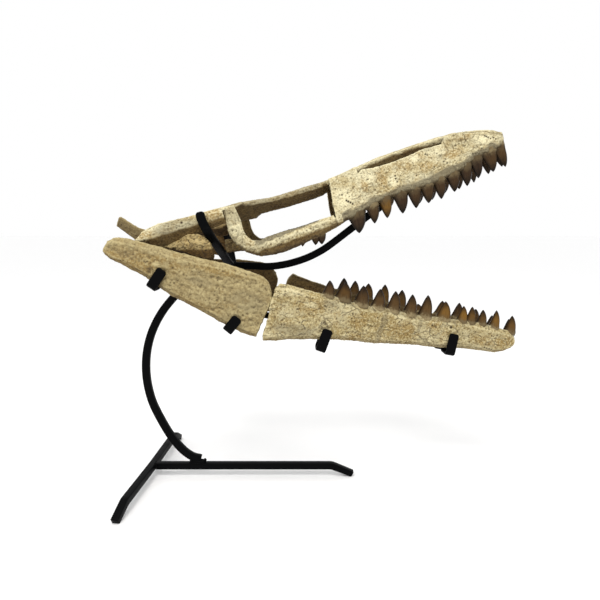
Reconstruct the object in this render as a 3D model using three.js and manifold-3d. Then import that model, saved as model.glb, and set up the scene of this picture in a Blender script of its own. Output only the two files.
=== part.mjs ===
// A mosasaur skull on its bar stand: the long toothed cranium is raised on a yoke and a palate
// rest, and the two lower jaws hang below it in clips, so that the mouth stands open.
//
// Millimetres, +Z up, +X towards the snout, the right side of the head towards -Y.
// Each jaw is drawn in its own frame: u runs along the jaw towards the snout, w is square to
// it upwards, and y is measured outwards from the middle plane, so both sides share one drawing.

import * as THREE from 'three';
import ManifoldModule from 'manifold-3d';

const manifoldLibrary = await ManifoldModule();
manifoldLibrary.setup();
const { Manifold, Mesh: ManifoldMesh } = manifoldLibrary;

// ---------------------------------------------------------------- driving dimensions

const GAP = 0.4;                       // air left between pieces that rest against each other

const CRANIUM_PITCH = 15.5;            // degrees, snout up
const CRANIUM_ORIGIN = [-340, 540];    // X, Z of the cranium frame's zero point
const JAW_PITCH = -12.5;               // degrees, chin down
const JAW_ORIGIN = [-400, 560];        // X, Z of the lower jaw frame's zero point
const LEFT_REAR_JAW_SAG = 12;          // degrees, how far the left rear jaw bone droops
const LEFT_REAR_JAW_BACK = 11;         // and how far back it has slipped
const LEFT_DENTARY_DROP = 5;           // how far the left dentary has slipped down

const SNOUT_TIP = 829;                 // u of the snout's tip, in the cranium frame
const NARES_FRONT = 716;               // u where the nostril slots end in front
const PREMAXILLA_FOOT = 772;           // u where the premaxilla meets the gum line
const NARES_REAR = 505;                // u where the nostril slots end behind
const ORBIT_FRONT = 424;               // u of the front wall of the eye socket
const FRONTAL_REAR = 215;              // u where the frontal meets the parietal
const PARIETAL_REAR = 108;             // u of the parietal's rear end
const ARCH_REAR = 16;                  // u of the temporal arch's rear end
const ARCH_FRONT = 150;                // u where the arch meets the postorbital
const POSTORBITAL_FRONT = 242;         // u of the postorbital's tip in the eye socket's roof
const JAW_CHIN = 924;                  // u of the chin, in the lower jaw frame
const JAW_SPLIT = 357;                 // u where the dentary meets the rear jaw bone
const JAW_REAR = 10;                   // u of the rear jaw bone's hind end

const BASE_BAR = 14;                   // square bar of the stand's feet
const RAIL_BAR = 12;                   // square bar of the jaw rails and their tie
const POST_DEPTH = 14;                 // bar of the curved post, seen from the side
const POST_WIDTH = 12;                 // and seen from in front
const YOKE_WIDTH = 17;                 // flat bar of the yoke's arms
const REST_DEPTH = 15;                 // rod under the palate, seen from the side
const REST_THICKNESS = 10;
const CLIP_WIDTH = 16;                 // flat bar of the clips
const CLIP_THICKNESS = 6;
const BASE_HEIGHT = 26;                // height of the base bars' middle line
const FOOT_SINK = 4;                   // middle-line height at the feet's ends, before trimming
const POST_CENTRE = [-107, 271];       // X, Z of the curved post's centre

// ---------------------------------------------------------------- materials

const bone = (name, color) => new THREE.MeshStandardMaterial({ name, color, roughness: 0.85, metalness: 0 });
const craniumBone = bone('pale_fossil_bone', 0xd6c9a2);
const jawBone = bone('tan_fossil_bone', 0xbfa577);
const rearBone = bone('brown_fossil_bone', 0x9a7d4e);
const blackSteel = new THREE.MeshStandardMaterial({
  name: 'black_coated_steel', color: 0x111114, roughness: 0.45, metalness: 0.3,
});

// ---------------------------------------------------------------- shape helpers

const RIGHT = -1;
const LEFT = 1;
const radians = THREE.MathUtils.degToRad;

/** A smooth function through [position, value] keys that never overshoots them. */
function along(...keys) {
  const slopes = keys.slice(1).map(([x, v], i) => (v - keys[i][1]) / (x - keys[i][0]));
  const tangents = keys.map((key, i) => {
    const before = slopes[Math.max(i - 1, 0)];
    const after = slopes[Math.min(i, slopes.length - 1)];
    return before * after <= 0 ? 0 : 2 * before * after / (before + after);
  });
  return (x) => {
    if (x <= keys[0][0]) return keys[0][1];
    const i = keys.findIndex(([position]) => x < position) - 1;
    if (i < 0) return keys.at(-1)[1];
    const width = keys[i + 1][0] - keys[i][0];
    const t = (x - keys[i][0]) / width;
    return (1 + 2 * t) * (1 - t) ** 2 * keys[i][1] + t * t * (3 - 2 * t) * keys[i + 1][1]
      + width * t * (1 - t) * ((1 - t) * tangents[i] - t * tangents[i + 1]);
  };
}

/** Evenly spaced positions from one end to the other, both ends included. */
function stations(from, to, count) {
  return Array.from({ length: count }, (_, i) => from + (to - from) * i / (count - 1));
}

/** Closed solid through rings of points, each end closed by a fan about its middle. */
function loft(rings) {
  const sides = rings[0].length;
  const points = rings.flat();
  const triangles = [];
  for (let ring = 0; ring + 1 < rings.length; ring += 1) {
    for (let i = 0; i < sides; i += 1) {
      const a = ring * sides + i;
      const b = ring * sides + (i + 1) % sides;
      triangles.push([a, b, b + sides], [a, b + sides, a + sides]);
    }
  }
  for (const [ring, flip] of [[0, true], [rings.length - 1, false]]) {
    const middle = points.length;
    const centre = new THREE.Vector3();
    rings[ring].forEach((point) => centre.addScaledVector(point, 1 / sides));
    points.push(centre);
    for (let i = 0; i < sides; i += 1) {
      const a = ring * sides + i;
      const b = ring * sides + (i + 1) % sides;
      triangles.push(flip ? [b, a, middle] : [a, b, middle]);
    }
  }
  return solidFrom(points, triangles);
}

/** Manifold solid from points and triangles, turned the right way out. */
function solidFrom(points, triangles) {
  const volume = triangles.reduce((sum, [a, b, c]) => (
    sum + points[a].dot(new THREE.Vector3().crossVectors(points[b], points[c]))), 0);
  const outward = volume < 0 ? triangles.map(([a, b, c]) => [a, c, b]) : triangles;
  return new Manifold(new ManifoldMesh({
    numProp: 3,
    vertProperties: new Float32Array(points.flatMap((point) => point.toArray())),
    triVerts: new Uint32Array(outward.flat()),
  }));
}

/** Three.js geometry of a manifold solid. */
function geometryOf(solid) {
  const mesh = solid.getMesh();
  const geometry = new THREE.BufferGeometry();
  geometry.setAttribute('position', new THREE.BufferAttribute(new Float32Array(mesh.vertProperties), 3));
  geometry.setIndex(new THREE.BufferAttribute(new Uint32Array(mesh.triVerts), 1));
  const flat = geometry.toNonIndexed();
  flat.computeVertexNormals();
  return flat;
}

function named(name, solid, material) {
  const mesh = new THREE.Mesh(geometryOf(solid), material);
  mesh.name = name;
  return mesh;
}

/** Bone drawn as a row of cross-sections: sectionAt(u) gives [y, w] points, y outwards. */
function boneAlong(positions, sectionAt, side = LEFT) {
  return loft(positions.map((u) => sectionAt(u).map(([y, w]) => new THREE.Vector3(u, side * y, w))));
}

/** Cross-section of a slab of bone with its four edges worn round. */
function slabSection(inner, outer, bottom, top, wear = 0.3) {
  const y = Math.min((outer - inner) * wear, (top - bottom) * 0.45);
  const w = Math.min(y * 1.2, (top - bottom) * 0.45);
  return [
    [outer - y, bottom], [outer, bottom + w], [outer, top - w], [outer - y, top],
    [inner + y, top], [inner, top - w], [inner, bottom + w], [inner + y, bottom],
  ];
}

/**
 * Limb of bone or bar of steel swept through points [u, y, w, depth, width]. The width is
 * measured along the given direction across the limb, and the depth square to it.
 */
function limb(points, across, wear = 0.28) {
  const centres = points.map(([u, y, w]) => new THREE.Vector3(u, y, w));
  const heading = (i) => {
    const before = centres[Math.max(i - 1, 0)];
    const after = centres[Math.min(i + 1, centres.length - 1)];
    return new THREE.Vector3().subVectors(after, before).normalize();
  };
  return loft(centres.map((centre, i) => {
    const [, , , depth, width] = points[i];
    const ahead = heading(i);
    const wide = across.clone().addScaledVector(ahead, -across.dot(ahead)).normalize();
    const deep = new THREE.Vector3().crossVectors(ahead, wide);
    return slabSection(-width / 2, width / 2, -depth / 2, depth / 2, wear).map(([a, b]) => (
      centre.clone().addScaledVector(wide, a).addScaledVector(deep, b)));
  }));
}

const TOOTH_SIDES = 7;

/** One tooth crown with its tip at u, sunk into its socket; up is 1 below and -1 above. */
function toothCrown({ u, y, w, up, height, length, width, recurve }) {
  const socket = 6;
  const levels = [[-socket, 1], [0.3 * height, 0.95], [0.68 * height, 0.66], [height, 0.16]];
  return loft(levels.map(([rise, scale]) => {
    const lean = recurve * (1 - Math.max(rise / height, 0) ** 2);
    return Array.from({ length: TOOTH_SIDES }, (_, i) => {
      const angle = 2 * Math.PI * i / TOOTH_SIDES;
      return new THREE.Vector3(
        u + lean + Math.cos(angle) * scale * length / 2,
        y + Math.sin(angle) * scale * width / 2,
        w + up * rise,
      );
    });
  }));
}

// ---------------------------------------------------------------- upper jaw outlines

const roofLine = along([110, 48], [150, 53], [215, 56], [261, 52.5], [314, 48], [355, 49], [408, 50],
  [438, 53], [487, 60], [530, 68], [575, 72], [664, 76], [707, 77], [750, 72], [805, 61],
  [821, 54], [SNOUT_TIP, 44]);
const upperGum = along([ORBIT_FRONT, -50], [450, -42], [486, -35], [517, -26], [551, -21], [631, -18],
  [670, -14], [698, -10], [734, 1], [763, 10], [806, 22], [SNOUT_TIP, 27]);
const upperFace = along([ORBIT_FRONT, 82], [462, 74], [530, 62], [566, 55], [627, 46], [657, 41],
  [721, 32], [763, 26], [806, 19], [826, 12], [SNOUT_TIP, 7]);
const upperShoulder = along([ORBIT_FRONT, 66], [NARES_REAR, 42], [533, 36], [578, 31], [651, 24],
  [NARES_FRONT, 19], [763, 14], [806, 10], [SNOUT_TIP, 4]);
const naresEdge = along([NARES_REAR, 50], [533, 47], [578, 49], [613, 53], [651, 59], [696, 61],
  [NARES_FRONT, 63]);
const roofHalfWidth = along([FRONTAL_REAR, 76], [240, 68], [280, 58], [340, 54], [400, 56],
  [ORBIT_FRONT, 43], [470, 27], [NARES_REAR, 12]);

const UPPER_TOOTH_ROW = 10;            // the teeth stand this far inside the outer face
const MAXILLA_FLOOR = 22;              // width of the maxilla's tooth-bearing edge

/** Height of the slanting seam between the premaxilla and the maxilla. */
function premaxillaSeam(u) {
  const t = (u - NARES_FRONT) / (PREMAXILLA_FOOT - NARES_FRONT);
  return THREE.MathUtils.lerp(naresEdge(NARES_FRONT), upperGum(PREMAXILLA_FOOT) + 4, t);
}

/** Height of the slanting seam between the maxilla and the prefrontal. */
function prefrontalSeam(u) {
  const t = (u - ORBIT_FRONT) / (NARES_REAR - ORBIT_FRONT);
  return THREE.MathUtils.lerp(8, naresEdge(NARES_REAR), t);
}

/** Half width of the snout's outer wall at height w. */
function snoutWall(u, w) {
  const t = THREE.MathUtils.clamp((w - upperGum(u)) / (roofLine(u) - upperGum(u)), 0, 1);
  const bulge = 3 * Math.sin(Math.PI * t);
  return THREE.MathUtils.lerp(upperFace(u), upperShoulder(u), t ** 1.2) + bulge;
}

function maxillaTop(u) {
  if (u < NARES_REAR) return prefrontalSeam(u) - GAP / 2;
  return u > NARES_FRONT ? premaxillaSeam(u) - GAP / 2 : naresEdge(u);
}

function maxillaSection(u) {
  const bottom = upperGum(u);
  const top = maxillaTop(u);
  const middle = bottom + 0.5 * (top - bottom);
  const innerEdge = (y) => Math.max(y, GAP);
  return [
    [snoutWall(u, bottom) - 4, bottom], [snoutWall(u, bottom + 5), bottom + 5],
    [snoutWall(u, middle), middle], [snoutWall(u, top), top],
    [innerEdge(snoutWall(u, top) - 10), top], [innerEdge(snoutWall(u, middle) - 12), middle],
    [innerEdge(upperFace(u) - MAXILLA_FLOOR), Math.min(bottom + 9, middle)],
    [innerEdge(upperFace(u) - MAXILLA_FLOOR), bottom],
  ];
}

const upperTeeth = {
  // u of the tip, crown height, length along the jaw, how far the tip lies behind the root
  [RIGHT]: [
    [464, 37, 31, 4], [502, 35, 24, 4], [532, 38, 24, 4], [568, 41, 27, 4], [600, 39, 26, 4],
    [630, 37, 27, 4], [660, 39, 25, 4], [693, 36, 26, 4], [724, 40, 25, 4], [753, 39, 22, 3],
    [790, 45, 25, 1], [823, 52, 19, -6],
  ],
  [LEFT]: [
    [484, 40, 29, 4], [526, 26, 22, 3], [560, 22, 22, 3], [593, 20, 22, 3], [626, 34, 26, 4],
    [656, 36, 25, 4], [686, 33, 25, 4], [719, 41, 25, 4], [753, 46, 22, 3], [787, 46, 25, 1],
    [818, 48, 19, -6],
  ],
};

function upperCrowns(side, isHere) {
  return upperTeeth[side].filter(([u]) => isHere(u)).map(([u, height, length, recurve]) => toothCrown({
    u, y: side * Math.max(upperFace(u) - UPPER_TOOTH_ROW, 7), w: upperGum(u + recurve), up: -1,
    height: height + upperGum(u + recurve) - upperGum(u), length, width: u > 800 ? 11 : 16, recurve,
  }));
}

function maxilla(side) {
  const rear = stations(ORBIT_FRONT, NARES_REAR, 5);
  const slot = stations(NARES_REAR, NARES_FRONT, 10).slice(1);
  const front = stations(NARES_FRONT, PREMAXILLA_FOOT - 1, 4).slice(1);
  const wall = boneAlong([...rear, ...slot, ...front], maxillaSection, side);
  return Manifold.union([wall, ...upperCrowns(side, (u) => u < PREMAXILLA_FOOT)]);
}

/** Snout tip, with the long bar that parts the two nostril slots behind it. */
function premaxilla() {
  const barBottom = along([NARES_REAR, 49], [540, 49], [600, 52], [650, 57], [695, 61],
    [NARES_FRONT, naresEdge(NARES_FRONT) + GAP]);
  const barHalfWidth = 7.5;
  const section = (u) => {
    const top = roofLine(u);
    const inBar = u <= NARES_FRONT;
    const bottom = inBar ? barBottom(u) : Math.max(premaxillaSeam(u) + GAP / 2, upperGum(u));
    const shoulder = inBar ? barHalfWidth : upperShoulder(u);
    const middle = (top + bottom) / 2;
    const waist = inBar ? barHalfWidth : snoutWall(u, middle);
    const base = inBar ? barHalfWidth - 1 : snoutWall(u, bottom);
    const right = [[shoulder, top - 3], [waist, middle], [base, bottom + 1]];
    const left = right.map(([y, w]) => [-y, w]).reverse();
    return [[0, top], ...right, [0, bottom], ...left];
  };
  const positions = [...stations(NARES_REAR - 20, NARES_FRONT, 9),
    ...stations(NARES_FRONT + 1, PREMAXILLA_FOOT, 4), 785, 800, 812, 821, 826, SNOUT_TIP];
  const crowns = [RIGHT, LEFT].flatMap((side) => upperCrowns(side, (u) => u > PREMAXILLA_FOOT));
  return Manifold.union([boneAlong(positions, section), ...crowns]);
}

/** Bone in front of the eye socket, between the maxilla and the skull roof. */
function prefrontal(side) {
  const section = (u) => {
    const bottom = prefrontalSeam(u) + GAP / 2;
    const top = roofLine(u) - 1;
    const inner = roofHalfWidth(u) + 2 * GAP;
    const middle = (bottom + top) / 2;
    return [
      [snoutWall(u, bottom), bottom], [snoutWall(u, middle), middle],
      [Math.max(snoutWall(u, top), inner + 2) + 1, top - 4],
      [Math.max(snoutWall(u, top) - 3, inner + 1), top], [inner, top], [inner, top - 8],
      [snoutWall(u, middle) - 12, middle - 3], [snoutWall(u, bottom) - 12, bottom],
    ];
  };
  return boneAlong(stations(ORBIT_FRONT, NARES_REAR - 12, 5), section, side);
}

/** Floor of the snout, between the two maxillae. */
function palate() {
  const halfWidth = (u) => upperFace(u) - MAXILLA_FLOOR - GAP;
  const section = (u) => {
    const bottom = upperGum(u) + 1;
    const top = bottom + 10;
    const y = halfWidth(u);
    return [[y, bottom + 1], [y, top - 2], [y / 2, top], [-y / 2, top],
      [-y, top - 2], [-y, bottom + 1], [-y / 3, bottom], [y / 3, bottom]];
  };
  const rear = stations(ORBIT_FRONT, NARES_REAR, 5);
  return boneAlong([...rear, ...stations(NARES_REAR, NARES_FRONT, 10).slice(1, -1)], section);
}

// ---------------------------------------------------------------- skull roof and cheek

/** Plate over the eye sockets, with the deep keel under its middle. */
function frontal() {
  const keel = along([FRONTAL_REAR, 38], [252, 38], [267, 30], [300, 27], [380, 28], [ORBIT_FRONT, 24],
    [NARES_REAR - 22, 11]);
  const section = (u) => {
    const top = roofLine(u);
    const half = roofHalfWidth(u);
    const rim = Math.min(12, keel(u) * 0.7);
    return [[half, top - rim], [half, top - 3], [half * 0.4, top], [-half * 0.4, top],
      [-half, top - 3], [-half, top - rim], [-half * 0.28, top - keel(u)], [half * 0.28, top - keel(u)]];
  };
  return boneAlong([FRONTAL_REAR, 228, 241, 252, 267, 295, 325, 360, 395, 412, ORBIT_FRONT, 447, 470,
    NARES_REAR - 20 - GAP], section);
}

/** Narrow table between the two upper openings of the skull. */
function parietal() {
  const half = along([PARIETAL_REAR, 30], [140, 18], [180, 22], [FRONTAL_REAR, 40]);
  const section = (u) => slabSection(-half(u), half(u), roofLine(u) - 15, roofLine(u) - 1);
  return boneAlong(stations(PARIETAL_REAR, FRONTAL_REAR - GAP, 6), section);
}

function braincase() {
  const half = along([PARIETAL_REAR - 6, 20], [130, 34], [170, 30], [FRONTAL_REAR, 24]);
  const floor = along([PARIETAL_REAR - 6, 14], [130, 6], [154, 6], [163, -3], [178, -4], [190, 2],
    [FRONTAL_REAR, 14]);
  const roof = (u) => roofLine(u) - 16 - GAP;
  const section = (u) => slabSection(-half(u), half(u), floor(u), roof(u), 0.25);
  return boneAlong([PARIETAL_REAR - 6, 118, 136, 154, 163, 178, 190, 202, FRONTAL_REAR - GAP], section);
}

const archFace = along([ARCH_REAR, 134], [60, 130], [106, 123], [ARCH_FRONT, 116], [200, 110],
  [POSTORBITAL_FRONT, 99]);

/** Long bar of the cheek behind the eye socket. */
function temporalArch(side) {
  const top = along([ARCH_REAR, 34], [26, 41], [36, 46], [53, 50], [75, 53], [106, 51], [ARCH_FRONT, 51]);
  const bottom = along([ARCH_REAR, 28], [26, 21], [36, 16], [53, 12], [ARCH_FRONT, 13]);
  const section = (u) => {
    const height = top(u) - bottom(u);
    const thickness = 8 + height * 0.38;
    const outer = archFace(u);
    const lean = [[-8, 0], [0, 0.4], [-1.5, 0.72], [-9, 1], [4 - thickness, 0.97],
      [-thickness, 0.7], [1 - thickness, 0.2], [6 - thickness, 0]];
    return lean.map(([y, w]) => [outer + y, bottom(u) + w * height]);
  };
  return boneAlong([ARCH_REAR, 22, 32, 46, 68, 95, 122, ARCH_FRONT - GAP], section, side);
}

/** Corner block that ties the roof, the arch and the cheek bone together. */
function postorbital(side) {
  const top = along([ARCH_FRONT, 50], [175, 51], [POSTORBITAL_FRONT, 51]);
  const bottom = (u) => (u < CHEEK_SEAT ? along([ARCH_FRONT, 14], [CHEEK_SEAT, 20])(u)
    : along([CHEEK_SEAT, CHEEK_TOP], [228, CHEEK_TOP], [POSTORBITAL_FRONT, CHEEK_TOP + 7])(u));
  const inner = (u) => (u < FRONTAL_REAR ? along([ARCH_FRONT, 93], [FRONTAL_REAR, 77])(u)
    : roofHalfWidth(u) + GAP);
  const section = (u) => slabSection(inner(u), archFace(u), bottom(u), top(u), 0.22);
  return boneAlong([ARCH_FRONT, 168, 185, CHEEK_SEAT - 1, CHEEK_SEAT, FRONTAL_REAR, 228,
    POSTORBITAL_FRONT - 1], section, side);
}

const CHEEK_SEAT = 200;                // u behind the cheek bone's upright
const CHEEK_TOP = 39;                  // w where the upright meets the postorbital

/** L-shaped cheek bone: an upright behind the eye socket and a long bar below it. */
function jugal(side) {
  const plan = along([CHEEK_SEAT, 100], [240, 95], [283, 89], [334, 82], [388, 77], [ORBIT_FRONT, 72]);
  const line = [
    // u, w, depth
    [215, CHEEK_TOP - GAP, 23], [215, 27, 27], [214, 14, 29], [213.5, -8, 29], [219, -25, 27],
    [231, -41, 27], [252, -52, 30], [280, -53, 37], [308, -52.5, 38], [338, -51, 34],
    [372, -47, 29], [400, -43, 26], [ORBIT_FRONT - 2.9, -39, 25],
  ];
  const points = line.map(([u, w, depth]) => [u, side * plan(u), w, depth, 13]);
  return limb(points, new THREE.Vector3(0, 1, 0), 0.36);
}

/** Strut from the rear of the skull roof out to the hinge of the jaw. */
function suspensorium(side) {
  const shared = [[PARIETAL_REAR - 7, 22, 34, 28, 16], [80, 48, 33, 26, 13], [55, 74, 34, 26, 12]];
  const ends = {
    [RIGHT]: [[36, 97, 35, 26, 12], [27, 112, 36, 22, 10]],
    [LEFT]: [[32, 92, 35, 28, 12], [10, 102, 35, 32, 13], [-18, 107, 40, 36, 13],
      [-52, 110, 61, 36, 13], [-88, 112, 103, 33, 12]],
  };
  const points = [...shared, ...ends[side]].map(([u, y, w, depth, width]) => [u, side * y, w, depth, width]);
  return limb(points, new THREE.Vector3(0.72, side * 0.7, 0));
}

/** Wedge-shaped hinge bone under the arch. */
function quadrate(side) {
  const top = along([52, 9], [84, 11.5], [120, 11.5], [138, 7], [150, -7]);
  const bottom = along([52, 4], [84, -12], [108, -30], [134, -50], [143, -52], [150, -42]);
  const thickness = along([52, 10], [100, 25], [135, 30], [150, 18]);
  const middle = 112;
  const section = (u) => slabSection(middle - thickness(u) / 2, middle + thickness(u) / 2,
    bottom(u), top(u), 0.34);
  return boneAlong([52, 66, 84, 102, 120, 134, 143, 150], section, side);
}

/** Rod of the throat's roof, with its own short row of teeth. */
function pterygoid(side) {
  const line = [
    // u, y, w, depth, width
    [ORBIT_FRONT - 2, 26, -44, 10, 22], [385, 27, -52, 15, 14], [336, 33, -58, 18, 11],
    [290, 42, -56, 18, 10], [245, 52, -47, 20, 9], [212, 59, -35, 25, 9], [190, 64, -29, 28, 9],
    [179.4, 66, -27.5, 28, 9],
  ];
  const rod = limb(line.map(([u, y, w, ...size]) => [u, side * y, w, ...size]), new THREE.Vector3(0, 1, 0));
  const crowns = [[331, 14], [347, 16], [364, 18], [381, 20]].map(([u, height]) => toothCrown({
    u, y: side * THREE.MathUtils.mapLinear(u, 336, 385, 32, 26), w: -61, up: -1,
    height, length: height * 0.6, width: 7, recurve: 4,
  }));
  return Manifold.union([rod, ...crowns]);
}

// ---------------------------------------------------------------- lower jaw

const rearJawFace = along([JAW_REAR, 157], [40, 163], [206, 163], [257, 160], [JAW_SPLIT, 152]);
const rearJawThickness = along([JAW_REAR, 14], [60, 26], [200, 30], [340, 26], [JAW_SPLIT, 16]);
const rearJawTop = along([JAW_REAR, 4], [16, 20], [28, 28], [46, 31], [90, 31], [155, 25.5], [206, 25],
  [257, 24], [291, 20.5], [317, 18], [334, 12], [345, 2], [352, -9], [JAW_SPLIT, -23]);
const rearJawBottom = along([JAW_REAR, -5], [20, -12], [50, -21], [92, -32], [130, -51], [175, -67],
  [222, -79], [294, -103], [341, -110], [346, -88], [351, -62], [JAW_SPLIT, -30]);

function rearJawBone(side) {
  const section = (u) => slabSection(rearJawFace(u) - rearJawThickness(u), rearJawFace(u),
    rearJawBottom(u), rearJawTop(u), 0.3);
  return boneAlong([JAW_REAR, 15, 26, 44, 70, 100, 130, 160, 190, 222, 255, 285, 312, 330, 341, 346, 351,
    JAW_SPLIT - GAP], section, side);
}

const SAG_PIVOT = [317, 19];           // u, w that the left rear jaw bone droops about

/** Place in the lower jaw frame of a point of the slipped left rear jaw bone. */
function sagged([u, w]) {
  const turn = radians(LEFT_REAR_JAW_SAG);
  const du = u - SAG_PIVOT[0];
  const dw = w - SAG_PIVOT[1];
  return [SAG_PIVOT[0] - LEFT_REAR_JAW_BACK + du * Math.cos(turn) - dw * Math.sin(turn),
    SAG_PIVOT[1] + du * Math.sin(turn) + dw * Math.cos(turn)];
}

const dentaryTop = along([JAW_SPLIT, -25], [361, 0], [368, 8], [380, 9], [421, 5], [487, 2],
  [522, -3], [563, -4], [598, -2], [639, -4], [680, -5], [717, -2], [755, 1], [825, 4], [866, 2],
  [899, 0], [916, -6], [JAW_CHIN, -18]);
const dentaryBottom = along([JAW_SPLIT, -109], [378, -110], [412, -102], [463, -95], [519, -86],
  [564, -84], [633, -77], [697, -70], [749, -67], [789, -62], [851, -57], [882, -55], [902, -49],
  [916, -41], [JAW_CHIN, -32]);
const dentaryFace = along([JAW_SPLIT, 154], [466, 125], [540, 108], [613, 91], [689, 72], [734, 61],
  [780, 50], [825, 40], [862, 33], [901, 26], [JAW_CHIN, 21]);
const dentaryThickness = along([JAW_SPLIT, 18], [375, 25], [700, 26], [880, 24], [901, 23], [JAW_CHIN, 14]);
const LOWER_TOOTH_ROW = 12;
const LEFT_DENTARY_REAR = 384;         // u of the left dentary's broken rear end

const lowerTeeth = {
  // u of the tip, its height above the jaw frame's axis, length along the jaw
  [RIGHT]: [
    [466, 34, 21], [499, 37, 29], [540, 37, 27], [578, 37, 25], [613, 39, 25], [653, 39, 25],
    [689, 44, 26], [734, 38, 27], [780, 36, 20], [801, 38, 20], [829, 36, 20], [862, 41, 20],
    [904, 36, 22],
  ],
  [LEFT]: [
    [517, 33, 24], [545, 33, 24], [578, 34, 26], [617, 41, 26], [659, 38, 26], [703, 14, 22],
    [755, 35, 26], [793, 40, 24], [832, 35, 22], [871, 29, 20], [909, 30, 20],
  ],
};

function dentary(side) {
  const broken = side === RIGHT ? () => 0 : along([LEFT_DENTARY_REAR, 17], [392, -4], [414, -3], [494, 0]);
  const section = (u) => slabSection(dentaryFace(u) - dentaryThickness(u), dentaryFace(u),
    dentaryBottom(u), dentaryTop(u) - broken(u), 0.3);
  const start = side === RIGHT ? JAW_SPLIT + GAP : LEFT_DENTARY_REAR;
  const corners = [start, start + 3, start + 9];
  const body = boneAlong([...corners, ...stations(start + 24, 880, 17), 899, 911, 918, JAW_CHIN],
    section, side);
  const crowns = lowerTeeth[side].map(([u, tip, length]) => toothCrown({
    u, y: side * (dentaryFace(u) - LOWER_TOOTH_ROW), w: dentaryTop(u), up: 1,
    height: tip - dentaryTop(u), length, width: 15, recurve: 4,
  }));
  return Manifold.union([body, ...crowns]);
}

// ---------------------------------------------------------------- stand

const ACROSS = new THREE.Vector3(0, 1, 0);

/** Bar through points [X, Y, Z], mitred at its bends; width runs across, depth square to it. */
function bar(points, depth, width, across = ACROSS) {
  const centres = points.map((point) => new THREE.Vector3(...point));
  const legs = centres.slice(1).map((point, i) => point.clone().sub(centres[i]).normalize());
  return loft(centres.map((centre, i) => {
    const before = legs[Math.max(i - 1, 0)];
    const after = legs[Math.min(i, legs.length - 1)];
    const ahead = before.clone().add(after).normalize();
    const wide = across.clone().addScaledVector(before, -across.dot(before)).normalize();
    const deep = new THREE.Vector3().crossVectors(before, wide);
    return [[-1, -1], [1, -1], [1, 1], [-1, 1]].map(([a, b]) => {
      const offset = wide.clone().multiplyScalar(a * width / 2).addScaledVector(deep, b * depth / 2);
      return centre.clone().add(offset).addScaledVector(before, -offset.dot(ahead) / before.dot(ahead));
    });
  }));
}

/** Cuts the foot off level where the stand meets the floor. */
const onFloor = (solid) => solid.trimByPlane([0, 0, 1], 0);

const CROSSBAR = [                     // X, Y, Z of the crossbar's middle line, right to left
  [-379, -204, FOOT_SINK], [-372, -164, BASE_HEIGHT], [-359.5, 0, BASE_HEIGHT],
  [-351, 180, BASE_HEIGHT], [-348, 214, FOOT_SINK],
];
const LONG_BAR_BEND = 78;              // X where the long bar bends down to its foot
const LONG_BAR_END = 128;

const CROSSBAR_WIDE = new THREE.Vector3(1, -0.08, 0);   // across the crossbar's slanting run
const CROSSBAR_HALF = 0.54 * BASE_BAR; // half its width, measured along X

function crossbar() {
  return onFloor(bar(CROSSBAR, BASE_BAR, BASE_BAR, CROSSBAR_WIDE));
}

function longBar() {
  const start = CROSSBAR[2][0] + CROSSBAR_HALF + GAP;
  return onFloor(bar([[start, 0, BASE_HEIGHT], [LONG_BAR_BEND, 0, BASE_HEIGHT],
    [LONG_BAR_END, 0, FOOT_SINK]], BASE_BAR, BASE_BAR));
}

const POST_TOP_ANGLE = 101;            // degrees, where the post ends under the skull
const POST_ARC_END = 200.6;            // degrees, where the post leaves its open curve
const POST_FACETS = 16;                // straight steps along the open curve
const POST_FOOT = [                    // X, Z of the tighter bend that lands on the long bar
  [-330.5, 135.5], [-310, 99], [-286, 68], [-263, 50], [-241, 43.5],
];
const POST_WELD = [[-270, 0], [-258, 4], [-237, 4]];   // X, and height above the long bar
const postRadius = along([POST_TOP_ANGLE, 249], [140, 252], [165, 256.5], [POST_ARC_END, 260]);

function onPostCurve(angle, inwards = 0) {
  const turn = radians(angle);
  const radius = postRadius(angle) - inwards;
  return [POST_CENTRE[0] + radius * Math.cos(turn), 0, POST_CENTRE[1] + radius * Math.sin(turn)];
}

function post() {
  const arc = stations(POST_TOP_ANGLE, POST_ARC_END, POST_FACETS + 1).map((angle) => onPostCurve(angle));
  const curve = bar([...arc, ...POST_FOOT.map(([x, z]) => [x, 0, z])], POST_DEPTH, POST_WIDTH);
  const seat = BASE_HEIGHT + BASE_BAR / 2 + GAP;
  const weld = bar(POST_WELD.map(([x, rise]) => [x, 0, seat + rise]), 2 * POST_WELD[1][1], POST_WIDTH - 3);
  return Manifold.union([curve, weld]).trimByPlane([0, 0, 1], seat);
}

const REST_FACETS = 22;                // straight steps along the palate rest

/** Rod from the head of the post forward to its end under the palate. */
function palateRest() {
  const [startX, , startZ] = onPostCurve(POST_TOP_ANGLE);
  const route = new THREE.CatmullRomCurve3([
    [startX + 2.4, startZ - 0.5], [-110, 513.5], [-69, 512.5], [-30, 518], [5, 528], [33, 540], [62, 557],
    [107, 591], [150, 624], [177, 643.5], [203, 662],
  ].map(([x, z]) => new THREE.Vector3(x, 0, z)));
  const path = route.getPoints(REST_FACETS).map((point) => point.toArray());
  return bar(path, REST_DEPTH, REST_THICKNESS);
}

/** Strap through points [along, y, up], folded square to the middle plane and leaning along it. */
function strap(points, width, thickness) {
  const legs = points.slice(1).map(([, y, w], i) => (
    new THREE.Vector2(y - points[i][1], w - points[i][2]).normalize()));
  return loft(points.map(([u, y, w], i) => {
    const before = legs[Math.max(i - 1, 0)];
    const after = legs[Math.min(i, legs.length - 1)];
    const mitre = new THREE.Vector2(-before.y - after.y, before.x + after.x);
    mitre.multiplyScalar(thickness / 2 / mitre.dot(new THREE.Vector2(-before.y, before.x)));
    return [[-1, -1], [1, -1], [1, 1], [-1, 1]].map(([a, b]) => (
      new THREE.Vector3(u + a * width / 2, y + b * mitre.x, w + b * mitre.y)));
  }));
}

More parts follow.
